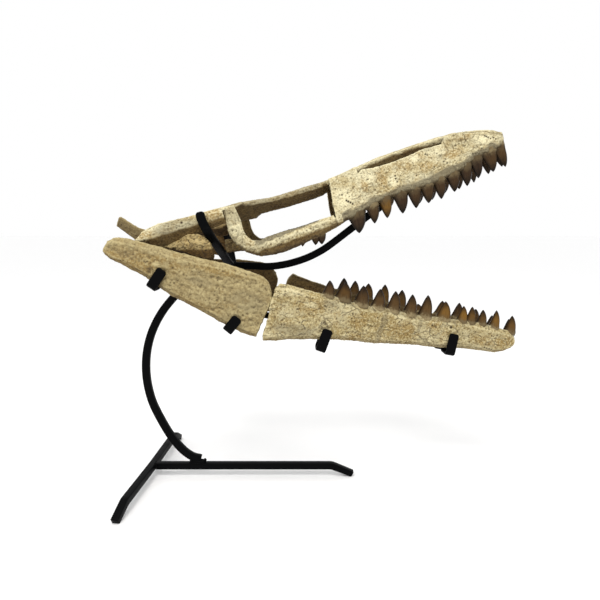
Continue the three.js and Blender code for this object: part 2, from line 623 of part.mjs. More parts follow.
/** Arm of the yoke, from the head of the post out and up beside the arch. */
function yokeArm(side) {
  const beside = archFace(ARCH_FRONT) + 2 * GAP + REST_THICKNESS / 2;
  const route = [[-157, POST_WIDTH / 2 + GAP, 515], [-157, 14, 515], [-161, 34, 526], [-168, 62, 545],
    [-174.5, 90, 563], [-181, 108, 577], [-188, beside, 592], [-193.5, beside, 603],
    [-200, beside, 617], [-204, beside, 633]];
  return strap(route.map(([x, y, z]) => [x, side * y, z]), YOKE_WIDTH, REST_THICKNESS);
}

// The rails and clips are drawn in the lower jaw frame, like the bones that they carry.

const RAIL_REAR = [128, -32];          // u, w of the rail's rear end
const RAIL_KNEE = [186, -66];          // u, w where the rail straightens
const RAIL_FRONT = [782, -66];         // u, w of the rail's front end
const RAIL_SLOPE_DEPTH = 1.16;         // upright depth of the rail where it slopes, in bars
const railPlan = along([RAIL_REAR[0], 127], [RAIL_KNEE[0], 125], [343, 119.5], [RAIL_FRONT[0], 14]);

function rail(side) {
  const path = [RAIL_REAR, RAIL_KNEE, [343, RAIL_KNEE[1]], RAIL_FRONT];
  return bar(path.map(([u, w]) => [u, side * railPlan(u), w]), RAIL_BAR, RAIL_BAR);
}

/** Underside of the rail at a place along the jaw, with the air below it. */
function railUnderside(u) {
  const climb = THREE.MathUtils.clamp((u - RAIL_REAR[0]) / (RAIL_KNEE[0] - RAIL_REAR[0]), 0, 1);
  const halfDepth = (climb < 1 ? RAIL_SLOPE_DEPTH : 1) * RAIL_BAR / 2;
  return THREE.MathUtils.lerp(RAIL_REAR[1], RAIL_KNEE[1], climb) - halfDepth - GAP;
}

const rearJawInner = (u) => rearJawFace(u) - rearJawThickness(u);
const dentaryInner = (u) => dentaryFace(u) - dentaryThickness(u);

const clips = [
  // u, w at the bend under the jaw and at the clip's outer end
  { bend: [118, -52.5], tip: [135, -12], inner: rearJawInner, outer: rearJawFace, onRearJaw: true },
  { bend: [283, -106.5], tip: [299, -75], inner: rearJawInner, outer: rearJawFace, onRearJaw: true },
  { bend: [479, -114], tip: [485, -66], inner: dentaryInner, outer: dentaryFace },
  { bend: [771, -75.9], tip: [769, -28], inner: dentaryInner, outer: dentaryFace },
];

/** Clip that hooks under a lower jaw from the rail and up the jaw's outer face. */
function clip(side, { bend, tip, inner, outer, onRearJaw }) {
  const slipped = onRearJaw ? sagged : ([u, w]) => [u, w - LEFT_DENTARY_DROP];
  const place = side === LEFT ? slipped : (point) => point;
  const [bendU, bendW] = place(bend);
  const [tipU, tipW] = place(tip);
  const half = CLIP_WIDTH / 2;
  const reach = CLIP_THICKNESS / 2 + 1.5 * GAP;
  const outerY = Math.max(outer(bend[0] - half), outer(bend[0] + half), outer(tip[0] - half)) + reach;
  const slope = (tipU - bendU) / (tipW - bendW);
  let lean = 0;
  let start = 0;
  for (let pass = 0; pass < 4; pass += 1) {
    start = railUnderside(bendU + half + lean);
    lean = slope * (start - bendW);
  }
  const innerY = Math.min(inner(bend[0] - half), inner(bend[0] + half + Math.max(lean, 0))) - reach;
  const hasInnerLeg = start - bendW > 0.6 * CLIP_THICKNESS;
  const root = hasInnerLeg ? [[bendU + lean, innerY, start], [bendU, innerY, bendW]]
    : [[bendU, innerY - CLIP_THICKNESS / 2, bendW]];
  const path = [...root, [bendU, outerY, bendW], [tipU, outerY, tipW]];
  return strap(path.map(([u, y, w]) => [u, side * y, w]), CLIP_WIDTH, CLIP_THICKNESS);
}

const TIE_ANGLE = 127.5;               // degrees, where the rails pass the curved post

/** Cross tie welded under the post, from rail to rail. */
function tie() {
  const [x, , z] = onPostCurve(TIE_ANGLE, (POST_DEPTH + RAIL_BAR) / 2 + 2 * GAP);
  const half = railPlan(RAIL_KNEE[0]) - RAIL_BAR / 2 - GAP;
  const tangent = new THREE.Vector3(Math.sin(radians(TIE_ANGLE)), 0, -Math.cos(radians(TIE_ANGLE)));
  return bar([[x, -half, z], [x, half, z]], RAIL_BAR, RAIL_BAR, tangent);
}

// ---------------------------------------------------------------- assembly

function frameOf([x, z], pitch) {
  const frame = new THREE.Group();
  frame.position.set(x, 0, z);
  frame.rotation.y = radians(-pitch);
  return frame;
}

const cranium = frameOf(CRANIUM_ORIGIN, CRANIUM_PITCH);
const lowerJaw = frameOf(JAW_ORIGIN, JAW_PITCH);
const stand = new THREE.Group();

cranium.add(
  named('premaxilla', premaxilla(), craniumBone),
  named('palate', palate(), rearBone),
  named('frontal', frontal(), craniumBone),
  named('parietal', parietal(), craniumBone),
  named('braincase', braincase(), rearBone),
);
stand.add(
  named('stand_crossbar', crossbar(), blackSteel),
  named('stand_long_bar', longBar(), blackSteel),
  named('stand_post', post(), blackSteel),
  named('stand_palate_rest', palateRest(), blackSteel),
  named('stand_tie', tie(), blackSteel),
);

// The left half of the lower jaw has slipped in its clips: its rear bone droops and lies back,
// and its dentary hangs lower than the right one.
const slippedRear = new THREE.Group();
const [slippedU, slippedW] = sagged([0, 0]);
slippedRear.rotation.y = radians(-LEFT_REAR_JAW_SAG);
slippedRear.position.set(slippedU, 0, slippedW);
const slippedFront = new THREE.Group();
slippedFront.position.z = -LEFT_DENTARY_DROP;
lowerJaw.add(slippedRear, slippedFront);

for (const [side, word] of [[RIGHT, 'right'], [LEFT, 'left']]) {
  cranium.add(
    named(`maxilla_${word}`, maxilla(side), craniumBone),
    named(`prefrontal_${word}`, prefrontal(side), craniumBone),
    named(`postorbital_${word}`, postorbital(side), craniumBone),
    named(`temporal_arch_${word}`, temporalArch(side), craniumBone),
    named(`jugal_${word}`, jugal(side), craniumBone),
    named(`suspensorium_${word}`, suspensorium(side), rearBone),
    named(`quadrate_${word}`, quadrate(side), rearBone),
    named(`pterygoid_${word}`, pterygoid(side), rearBone),
  );
  (side === LEFT ? slippedRear : lowerJaw).add(named(`rear_jaw_${word}`, rearJawBone(side), jawBone));
  (side === LEFT ? slippedFront : lowerJaw).add(named(`dentary_${word}`, dentary(side), jawBone));
  stand.add(named(`stand_arm_${word}`, yokeArm(side), blackSteel));
  lowerJaw.add(named(`stand_rail_${word}`, rail(side), blackSteel));
  clips.forEach((drawing, i) => {
    lowerJaw.add(named(`stand_clip_${word}_${i + 1}`, clip(side, drawing), blackSteel));
  });
}

const root = new THREE.Group();
root.add(cranium, lowerJaw, stand);

// Bring the middle of the floor plan over the origin, with the feet on the floor.
const extent = new THREE.Box3().setFromObject(root);
const middle = extent.getCenter(new THREE.Vector3());
root.position.set(-middle.x, -middle.y, -extent.min.z);

export default root;
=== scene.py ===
# %% [markdown]
# # A mosasaur skull on its bar stand
#
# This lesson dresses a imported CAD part: the skull of a large marine reptile with its mouth
# open, held up by a stand of bent black bar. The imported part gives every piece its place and
# size, in metres, with Z up and the snout towards +X. The cells below give it its looks:
# dry pitted bone, dark teeth and a satin black coat on steel.
#
# The first cell loads the part as a fixed frame. Nothing in it may be moved, so every new
# piece is built in the same place as the solid that it stands for.

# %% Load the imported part
import itertools
import math

import bmesh
import bpy
import numpy as np
from mathutils import Matrix, Vector


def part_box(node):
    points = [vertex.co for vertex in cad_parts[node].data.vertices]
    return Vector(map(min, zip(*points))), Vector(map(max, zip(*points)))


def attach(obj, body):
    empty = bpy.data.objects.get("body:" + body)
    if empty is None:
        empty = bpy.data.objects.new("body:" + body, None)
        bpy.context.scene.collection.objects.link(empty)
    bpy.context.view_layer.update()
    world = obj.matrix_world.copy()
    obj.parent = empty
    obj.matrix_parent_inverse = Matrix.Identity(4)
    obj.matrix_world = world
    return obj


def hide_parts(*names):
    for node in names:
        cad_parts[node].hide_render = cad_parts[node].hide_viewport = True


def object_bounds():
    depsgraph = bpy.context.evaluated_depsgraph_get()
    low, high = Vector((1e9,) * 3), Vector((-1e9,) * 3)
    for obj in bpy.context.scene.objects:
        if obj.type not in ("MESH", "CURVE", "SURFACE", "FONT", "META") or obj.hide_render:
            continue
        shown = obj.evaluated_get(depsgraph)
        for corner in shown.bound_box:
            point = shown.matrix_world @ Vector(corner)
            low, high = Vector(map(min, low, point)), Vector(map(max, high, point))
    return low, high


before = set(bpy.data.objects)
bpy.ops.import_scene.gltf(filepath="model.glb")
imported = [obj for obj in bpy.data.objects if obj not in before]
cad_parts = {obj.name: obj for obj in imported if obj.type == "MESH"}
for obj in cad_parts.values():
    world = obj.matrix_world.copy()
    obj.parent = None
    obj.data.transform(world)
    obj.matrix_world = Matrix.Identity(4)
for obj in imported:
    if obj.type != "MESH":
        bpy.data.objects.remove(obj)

CAD_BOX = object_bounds()
MM = 0.001
print("packed part:", len(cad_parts), "nodes")

# %% [markdown]
# ## Three frames to draw in
#
# The skull is tilted up and the lower jaw is tilted down, so it is easiest to describe each in
# its own frame: u runs along the jaw to the snout, y outwards from the middle plane and w
# square to the jaw. The stand's frame isn't tilted: its heights are millimetres above the floor.
# Parented empties could hold the frames, but a 4 by 4 matrix is enough, and NumPy applies it to
# many points at once, which is far quicker than a Python loop over vertices.

# %% The jaw frames
PLAN_MIDDLE = Vector((-23.044, -4.992, 0.0))    # from the drawings' zero to the part's, in mm
CRANIUM_PITCH = 15.5                            # degrees, snout up
JAW_PITCH = -12.5                               # degrees, chin down
LEFT_DENTARY_DROP = 5                           # mm that it has slipped down in its clips
SIDES = {"right": -1, "left": 1}


def jaw_frame(x, z, pitch):
    """Matrix from a jaw's own millimetres (u, y, w) to metres in the part's frame."""
    place = Matrix.Translation(Vector((x, 0, z)) + PLAN_MIDDLE)
    return Matrix.Scale(MM, 4) @ place @ Matrix.Rotation(math.radians(-pitch), 4, "Y")


CRANIUM = jaw_frame(-340, 540, CRANIUM_PITCH)
LOWER_JAW = jaw_frame(-400, 560, JAW_PITCH)
FLOOR_PLAN = jaw_frame(0, 0, 0)
DENTARY = {"right": LOWER_JAW, "left": LOWER_JAW @ Matrix.Translation((0, 0, -LEFT_DENTARY_DROP))}


def moved(matrix, points):
    """Those points, an array of rows, moved by the matrix."""
    table = np.array(matrix)
    return np.asarray(points, float) @ table[:3, :3].T + table[:3, 3]


def line(*keys):
    """A function that runs straight from key to key, each key being (place, value)."""
    places, values = zip(*keys)
    return lambda u: np.interp(u, places, values)


print("cranium frame starts at", [round(v, 3) for v in CRANIUM.translation])

# %% [markdown]
# ## The camera
#
# The skull is seen square from its right side, from a little above the middle. A short lens
# close by gives the strong near and far difference between the two lower jaws. The camera
# comes first, because every later cell is seen through it.

# %% Camera
EYE = Vector((0, -1150, 604))    # mm
EYE_DIP = 8.4                    # degrees that it looks down


def put_in_scene(name, data):
    """A new object of that name that shows that data."""
    thing = bpy.data.objects.new(name, data)
    bpy.context.scene.collection.objects.link(thing)
    return thing


lens = bpy.data.cameras.new("side_view")
lens.lens = 30
camera = put_in_scene("side_view", lens)
camera.location = (EYE + PLAN_MIDDLE) * MM
camera.rotation_euler = (math.radians(90 - EYE_DIP), 0, 0)
bpy.context.scene.camera = camera
print("camera at", [round(v, 3) for v in camera.location])

# %% [markdown]
# ## Floor and soft studio light
#
# A specimen like this is shown on a plain pale sweep. A wide soft light hangs above and in
# front, so that the upper faces of the bones are bright and their undersides fall into brown
# shade, and the pale world fills in the rest. The plain view transform keeps the bone colours
# as they are mixed.

# %% Floor and light
FLOOR_REACH = 30    # m from the middle to each edge
bpy.context.scene.view_settings.view_transform = "Standard"

floor_mesh = bpy.data.meshes.new("floor")
corners = [(x * FLOOR_REACH, y * FLOOR_REACH, 0) for x, y in ((-1, -1), (1, -1), (1, 1), (-1, 1))]
floor_mesh.from_pydata(corners, [], [(0, 1, 2, 3)])
floor = put_in_scene("floor", floor_mesh)
paper = bpy.data.materials.new("white_paper")
paper.use_nodes = True
face = paper.node_tree.nodes["Principled BSDF"]
face.inputs["Base Color"].default_value = (0.985, 0.985, 0.985, 1)
face.inputs["Roughness"].default_value = 0.9
floor_mesh.materials.append(paper)

world = bpy.data.worlds.new("pale_studio")
bpy.context.scene.world = world
world.use_nodes = True
sky = world.node_tree.nodes["Background"]
sky.inputs["Color"].default_value = (1, 1, 1, 1)
sky.inputs["Strength"].default_value = 1.0

lamp = bpy.data.lights.new("key_above", "AREA")
lamp.size = 1.0
lamp.energy = 40
lamp.color = (1, 0.98, 0.95)
key = put_in_scene("key_above", lamp)
key.location = (-0.5, -1.3, 2.7)
aim = Vector((0, 0, 0.5)) - key.location
key.rotation_euler = aim.to_track_quat("-Z", "Y").to_euler()
print("floor and", len(bpy.data.lights), "light")

# %% [markdown]
# ## From a coarse solid to an even skin
#
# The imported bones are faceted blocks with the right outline. Real bone has no flat facets and
# no sharp edges. A voxel remesh turns the blocks into one even skin of small squares, and a
# smooth takes the edges off it. Blocks that are glued and filled into one bone, such as the
# walls of the snout, are swelled a little and remeshed together, so that no seam is left.

# %% Helpers that make a skin
VOXEL = 1.3 * MM
SAME_POINT = 0.02 * MM
ROUNDING = 3    # passes of the smooth


def rows_of(items, field):
    """Three numbers of each item, as an array of rows."""
    table = np.empty(len(items) * 3)
    items.foreach_get(field, table)
    return table.reshape(-1, 3)


def vertices(piece):
    """The piece's vertices, one row each."""
    return rows_of(piece.data.vertices, "co")


def normals(piece):
    return rows_of(piece.data.vertex_normals, "vector")


def set_vertices(piece, table):
    piece.data.vertices.foreach_set("co", np.ascontiguousarray(table, float).ravel())
    piece.data.update()


def in_frame(piece, matrix):
    """The piece's vertices in a jaw's own millimetres."""
    return moved(matrix.inverted(), vertices(piece))


def copy_of(nodes, name, swell=0.0):
    """One object with welded copies of those nodes' meshes, each swelled by that many mm."""
    skin = bmesh.new()
    for node in nodes:
        part = bmesh.new()
        part.from_mesh(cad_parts[node].data)
        bmesh.ops.remove_doubles(part, verts=part.verts, dist=SAME_POINT)
        bmesh.ops.recalc_face_normals(part, faces=part.faces)
        for corner in part.verts:
            corner.co += corner.normal * swell * MM
        block = bpy.data.meshes.new("block")
        part.to_mesh(block)
        part.free()
        skin.from_mesh(block)
        bpy.data.meshes.remove(block)
    mesh = bpy.data.meshes.new(name)
    skin.to_mesh(mesh)
    skin.free()
    return put_in_scene(name, mesh)


def even_skin(piece):
    """Remeshes the piece into small squares and rounds its edges."""
    remesh = piece.modifiers.new("skin", "REMESH")
    remesh.mode = "VOXEL"
    remesh.voxel_size = VOXEL
    piece.modifiers.new("rounding", "SMOOTH").iterations = ROUNDING
    graph = bpy.context.evaluated_depsgraph_get()
    worn = bpy.data.meshes.new_from_object(piece.evaluated_get(graph))
    piece.modifiers.clear()
    piece.data = worn


print("skin of", round(VOXEL / MM, 1), "mm squares")

# %% [markdown]
# ## Relief from numbers
#
# Old bone is uneven at every scale: broad swellings, long grain, lumps, cracks and pits. Texture
# displacements could do this, but they can't follow the jaw's slant or tell the paint where
# the hollows are. So the relief is worked out with NumPy. A steady random number is given to
# each cell of a lattice, and blending the numbers of the eight nearest cells gives smooth
# noise at any size.

# %% Noise, cracks and pits
def cell_number(cell, seed):
    """A steady random number from 0 to 1 for each whole-numbered cell."""
    mixed = cell[:, 0] * 73856093 ^ cell[:, 1] * 19349663 ^ cell[:, 2] * 83492791 ^ seed * 26544357
    mixed = (mixed ^ (mixed >> 13)) * 1274126177
    return ((mixed ^ (mixed >> 16)) & 0xFFFF) / 0xFFFF


def grain(points, size, seed):
    """Smooth noise from -1 to 1, with lumps of about that size (one number or three)."""
    place = points / size + 100.0
    home = np.floor(place).astype(np.int64)
    share = place - home
    share = share * share * (3 - 2 * share)
    total = np.zeros(len(points))
    for step in itertools.product((0, 1), repeat=3):
        weight = np.prod(np.where(step, share, 1 - share), axis=1)
        total += weight * cell_number(home + step, seed)
    return total * 2 - 1


def cracks(points, size, width, seed):
    """0 to 1, highest along thin wandering lines."""
    return np.clip(1 - np.abs(grain(points, size, seed)) / width, 0, 1)


def pits(points, spacing, share, seed):
    """0 to 1, how deep each point lies in a scatter of round pits."""
    place = points / spacing + 100.0
    home = np.floor(place - 0.5).astype(np.int64)
    deep = np.zeros(len(points))
    for step in itertools.product((0, 1), repeat=3):
        cell = home + step
        centre = cell + 0.3 + 0.4 * np.stack([cell_number(cell, seed + k) for k in range(3)], axis=1)
        radius = 0.10 + 0.14 * cell_number(cell, seed + 3)
        here = cell_number(cell, seed + 4) < share
        deep = np.maximum(deep, here * np.exp(-((place - centre) ** 2).sum(axis=1) / radius ** 2))
    return deep


def paint(piece, name, values):
    """Stores one number for each vertex, for the material to read."""
    mask = piece.data.attributes.get(name) or piece.data.attributes.new(name, "FLOAT", "POINT")
    mask.data.foreach_set("value", np.clip(values, 0, 1).astype(np.float32))


def wear(piece, matrix, swell, lump, grit, cracked, pitted):
    """Roughens a skin by those amounts in mm, and paints its cracks and pits."""
    table = in_frame(piece, matrix)
    broad = swell * (grain(table, 42, 1) + 0.5 * grain(table, (24, 15, 15), 2))
    fine = lump * (0.5 * grain(table, (13, 7, 7), 3) + 0.5 * grain(table, (7, 5, 5), 4))
    fine += grit * (0.7 * grain(table, 3.4, 5) + 0.6 * grain(table, 2.2, 6))
    long_cracks = cracks(table, (34, 22, 22), 0.09, 8)
    short_cracks = cracks(table, (15, 10, 10), 0.12, 9) * 0.7
    zone = np.clip(grain(table, 52, 7) * 3.0 - 0.2, 0, 1)
    split = zone * np.maximum(long_cracks, short_cracks)
    pores = pits(table, 7.5, 0.45, 10)
    height = broad + fine - cracked * split - pitted * pores
    set_vertices(piece, vertices(piece) + normals(piece) * (height * MM)[:, None])
    paint(piece, "split", np.maximum(split * min(cracked, 0.8), pores))


print("relief helpers ready")

# %% [markdown]
# ## Gum lines and teeth rows
#
# The solids carry their teeth as coarse spikes. Finer teeth replace them later, so the spikes
# are first pressed back into the bone, just beyond the gum line. That line is the only drawing
# that the bone and its teeth share, so it is written down once for each jaw.

# %% Gum lines, faces and the rows of teeth
UPPER_GUM = line(
    (424, -50), (450, -42), (486, -35), (517, -26), (551, -21), (631, -18), (670, -14), (698, -10),
    (734, 1), (763, 10), (806, 22), (829, 30))
UPPER_FACE = line(
    (424, 82), (462, 74), (530, 62), (566, 55), (627, 46), (657, 41), (721, 32), (763, 26), (806, 19),
    (826, 12), (829, 7))
LOWER_GUM = line(
    (357, -25), (361, 0), (368, 8), (380, 9), (421, 5), (487, 2), (522, -3), (563, -4), (598, -2),
    (639, -4), (680, -5), (717, -2), (755, 1), (825, 4), (866, 2), (899, 0), (916, -6), (924, -18))
LOWER_FACE = line(
    (357, 154), (466, 125), (540, 108), (613, 91), (689, 72), (734, 61), (780, 50), (825, 40), (862, 33),
    (901, 26), (924, 21))
THROAT_GUM = line((203, -49), (245, -57), (290, -65), (336, -67), (385, -59.5), (422, -49))

# Each tooth is u of the tip, crown height, length along the jaw, and how far the tip leans back.
UPPER_TEETH = {
    "right": [
        (464, 37, 31, 4), (502, 35, 24, 4), (532, 38, 24, 4), (568, 41, 27, 4), (600, 39, 26, 4),
        (630, 37, 27, 4), (660, 39, 25, 4), (693, 36, 26, 4), (724, 40, 25, 4), (753, 39, 24, 3),
        (790, 45, 29, -1), (820, 51, 22, -6)],
    "left": [
        (484, 40, 29, 4), (526, 26, 22, 3), (560, 22, 22, 3), (593, 20, 22, 3), (626, 34, 26, 4),
        (656, 36, 25, 4), (686, 33, 25, 4), (719, 41, 25, 4), (753, 46, 22, 3), (787, 46, 25, 1),
        (818, 48, 19, -6)],
}
# In the lower jaw the second number is the height of the tip above the jaw's own axis.
LOWER_TEETH = {
    "right": [
        (466, 34, 21), (499, 37, 29), (540, 37, 27), (578, 37, 25), (613, 39, 25), (653, 39, 25),
        (689, 44, 26), (734, 38, 27), (780, 36, 20), (801, 38, 20), (829, 36, 20), (862, 41, 20),
        (904, 36, 22)],
    "left": [
        (517, 33, 24), (545, 33, 24), (578, 34, 26), (617, 41, 26), (659, 38, 26), (703, 14, 22),
        (755, 35, 26), (793, 40, 24), (832, 35, 22), (871, 29, 20), (909, 30, 17)],
}
THROAT_TEETH = [(322, 11), (338, 13), (367, 18), (381, 20)]
SPIKE = 1.5    # mm past the gum line that counts as a spike


def press_teeth(piece, matrix, gum, up, behind):
    """Pushes whatever stands past the gum line back into the bone, from that u forwards."""
    table = in_frame(piece, matrix)
    u, _, w = table.T
    edge = gum(u)
    past = ((w - edge) * up > SPIKE) & (u > behind)
    w[past] = edge[past] - up
    set_vertices(piece, moved(matrix, table))


print(sum(len(row) for row in (*UPPER_TEETH.values(), *LOWER_TEETH.values())), "jaw teeth")

# %% [markdown]
# ## Paint that follows the anatomy
#
# Noise alone would spread every stain evenly. On the real skull, the stains follow the anatomy:
# grey filler lies along the gums, ochre patches sit on the flanks, and small holes for nerves and
# blood vessels run in a row above the teeth. Undersides and inner faces get painted shade in
# brown. Masks for each vertex hold these, and the bone material mixes its tones by them. The
# holes are also pushed in, because a hole that is only painted looks flat from the side.

# %% Spots, holes and sockets
def fade(value, start, length):
    """0 up to the start, 1 from that length further on (backwards if it is negative)."""
    return np.clip((value - start) / length, 0, 1)


def soft_spots(table, spots):
    """Sum of soft ellipses (u, w, half length, half height) over points in a jaw's frame."""
    total = np.zeros(len(table))
    for u, w, long, high in spots:
        apart = ((table[:, 0] - u) / long) ** 2 + ((table[:, 2] - w) / high) ** 2
        total += np.exp(-apart ** 2)
    return total


DEEPEST = 1.2 * 2.2    # mm: a hole is 1.2 radii deep, but no deeper than this
COLLAR_RISE = 3.0      # mm that the bone rises around a tooth
COLLAR_REACH = 5.0     # mm above and below the gum line


def drill(piece, matrix, holes):
    """Pushes small holes (u, w, radius) into the outer faces and darkens them."""
    table = in_frame(piece, matrix)
    out = np.sign(table[:, 1])
    facing = (normals(piece)[:, 1] * out > 0.3) & (np.abs(table[:, 1]) > 4)
    depth = np.zeros(len(table))
    for u, w, radius in holes:
        apart = ((table[:, 0] - u) ** 2 + (table[:, 2] - w) ** 2) / radius ** 2
        depth = np.maximum(depth, np.exp(-apart) * facing * min(radius * 1.2, DEEPEST))
    table[:, 1] -= out * depth
    set_vertices(piece, moved(matrix, table))
    paint(piece, "hole", depth / 1.8)


def swell_sockets(piece, matrix, gum, up, teeth):
    """Raises a low collar of bone around each tooth (u, half length)."""
    table = in_frame(piece, matrix)
    u, _, w = table.T
    near_gum = np.exp(-((w - gum(u)) / COLLAR_REACH) ** 2)
    for middle, half in teeth:
        w += up * COLLAR_RISE * np.exp(-((u - middle) / half) ** 4) * near_gum
    set_vertices(piece, moved(matrix, table))


print("holes at most", round(DEEPEST, 1), "mm deep")

# %% [markdown]
# ## Shade that follows the shape
#
# Bone stays pale where light and cleaning reach it, and brown in hollows and on faces that look
# down or in. An ambient occlusion node could find them, but it is slow and grainy. Averaging
# each vertex with its neighbours does it once: a vertex below its neighbours lies in a hollow,
# and an averaged normal tells where a broad face looks.

# %% Masks of shade
# Faces that look forward at the snout's tip get painted shade.
SNOUT_TIP = 822    # u from which a face that looks forward is brown


def spread(piece, values, times):
    """Averages rows of values with their neighbours along the mesh, that many times."""
    ends = np.empty(len(piece.data.edges) * 2, np.int32)
    piece.data.edges.foreach_get("vertices", ends)
    here, there = ends.reshape(-1, 2).T
    count = np.bincount(ends, minlength=len(values))[:, None] + 1
    for _ in range(times):
        total = values.copy()
        for k in range(values.shape[1]):
            total[:, k] += np.bincount(here, values[there, k], len(values))
            total[:, k] += np.bincount(there, values[here, k], len(values))
        values = total / count
    return values


def shade_masks(piece, matrix, shaded_below, inner_shade, under_shade):
    """Marks the faces that look down or in, and what lies below a line along the jaw, for painted shade."""
    turned = spread(piece, normals(piece), 6) @ np.array(matrix.to_3x3().normalized())
    here = vertices(piece)
    # A vertex below its neighbours lies in a hollow, where the material puts dirt and painted shade.
    ridge = ((here - spread(piece, here, 8)) * normals(piece)).sum(axis=1) / MM
    paint(piece, "hollow", 0.5 - ridge)
    table = in_frame(piece, matrix)
    u, y, w = table.T
    # Painted shade on faces that look in towards the middle plane, on faces that look down, and on forward
    # faces at the snout's tip.
    inwards = -turned[:, 1] * np.clip(y / 15, -1, 1)
    under = (0.15 - turned[:, 2] * 1.5) * under_shade
    at_tip = (u > SNOUT_TIP) * np.clip(turned[:, 0] * 3 - 2, 0, 0.8)
    under = np.maximum(under, at_tip)
    # Below the given line the bone gets painted shade as well.
    if shaded_below is not None:
        edge = shaded_below(table) + 1.5 * grain(table, 9, 20)
        under = np.maximum(under, (edge - w) / 5 + 0.5)
    paint(piece, "under", under)
    paint(piece, "inner", (inwards * 2 - 0.2) * inner_shade)


def keep_in_box(piece, margin=0.1 * MM):
    """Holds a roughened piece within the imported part's box."""
    low, high = (np.array(corner) for corner in CAD_BOX)
    set_vertices(piece, np.clip(vertices(piece), low + margin, high - margin))


print("masks ready")

# %% [markdown]
# ## Shader helpers
#
# A node material is a small program. Writing each node and link by hand takes pages, so this
# small class adds a node in one call and returns its output, ready to feed the next one. Its
# last call feeds the surface shader, which all materials end with.

# %% Shader helpers
class Shader:
    """A new node material, and calls that add a node to it. Colours are (red, green, blue)."""

    def __init__(self, name):
        self.material = bpy.data.materials.new(name)
        self.material.use_nodes = True
        self.tree = self.material.node_tree

    def feed(self, socket, value):
        if isinstance(value, bpy.types.NodeSocket):
            self.tree.links.new(value, socket)
        elif socket.type == "RGBA":
            socket.default_value = (*value, 1)
        else:
            socket.default_value = value

    def node(self, kind, inputs, out=0, **settings):
        made = self.tree.nodes.new("ShaderNode" + kind)
        for key, value in settings.items():
            setattr(made, key, value)
        for key, value in inputs.items():
            self.feed(made.inputs[key], value)
        return made.outputs[out]

    def mask(self, name):
        return self.node("Attribute", {}, 2, attribute_name=name)

    def noise(self, place, scale, detail, rough=0.5, out=0):
        return self.node("TexNoise", {0: place, 2: scale, 3: detail, 4: rough}, out)

    def plates(self, place, scale, feature="F1", out=0):
        return self.node("TexVoronoi", {0: place, 2: scale}, out, feature=feature)

    def maths(self, operation, first, second=0.0):
        return self.node("Math", {0: first, 1: second}, operation=operation)

    def times(self, first, second):
        return self.maths("MULTIPLY", first, second)

    def ramp(self, value, low, high, top=1.0, bottom=0.0):
        """The bottom number at low, the top number at high, and straight between."""
        return self.node("MapRange", {0: value, 1: low, 2: high, 3: bottom, 4: top})

    def mix(self, share, first, second, blend="MIX"):
        return self.node("Mix", {0: share, 6: first, 7: second}, 2, data_type="RGBA", blend_type=blend)

    def layers(self, colour, *coats):
        """That colour with coats laid over it, each being (share, colour)."""
        for share, coat in coats:
            colour = self.mix(share, colour, coat)
        return colour

    def surface(self, colour, roughness, shine, relief, strength, depth):
        """Feeds the surface shader, with a bump of that depth in metres."""
        skin = self.tree.nodes["Principled BSDF"].inputs
        self.feed(skin["Base Color"], colour)
        self.feed(skin["Roughness"], roughness)
        skin["Specular IOR Level"].default_value = shine
        bump = self.node("Bump", {"Strength": strength, "Distance": depth, "Height": relief})
        self.feed(skin["Normal"], bump)
        return skin


print("shader helpers ready")

# %% [markdown]
# ## The bone material
#
# Fossil bone shows several scales of change. Broad clouds blend pale into tan, patches of a
# few centimetres turn ochre or chalky, a grain runs along the bone, and specks, cracks and
# pores hold dark dirt. Noise nodes read in space do all of it, so no image is needed and no
# seam shows. Masks painted on the mesh add painted shade in hollows and on faces that look
# down or in. One function builds the nodes, and each family of bones gets its own tones.

# %% The bone material
CRACK_SHADE = (0.035, 0.022, 0.012)
# Grey of the filler, which also paints shade along the cheek bars' tops.
FILLER_AND_SHADE = (0.172, 0.146, 0.090)
# Brown of the painted shade on undersides and inner faces.
UNDER_SHADE = (0.19, 0.13, 0.057)


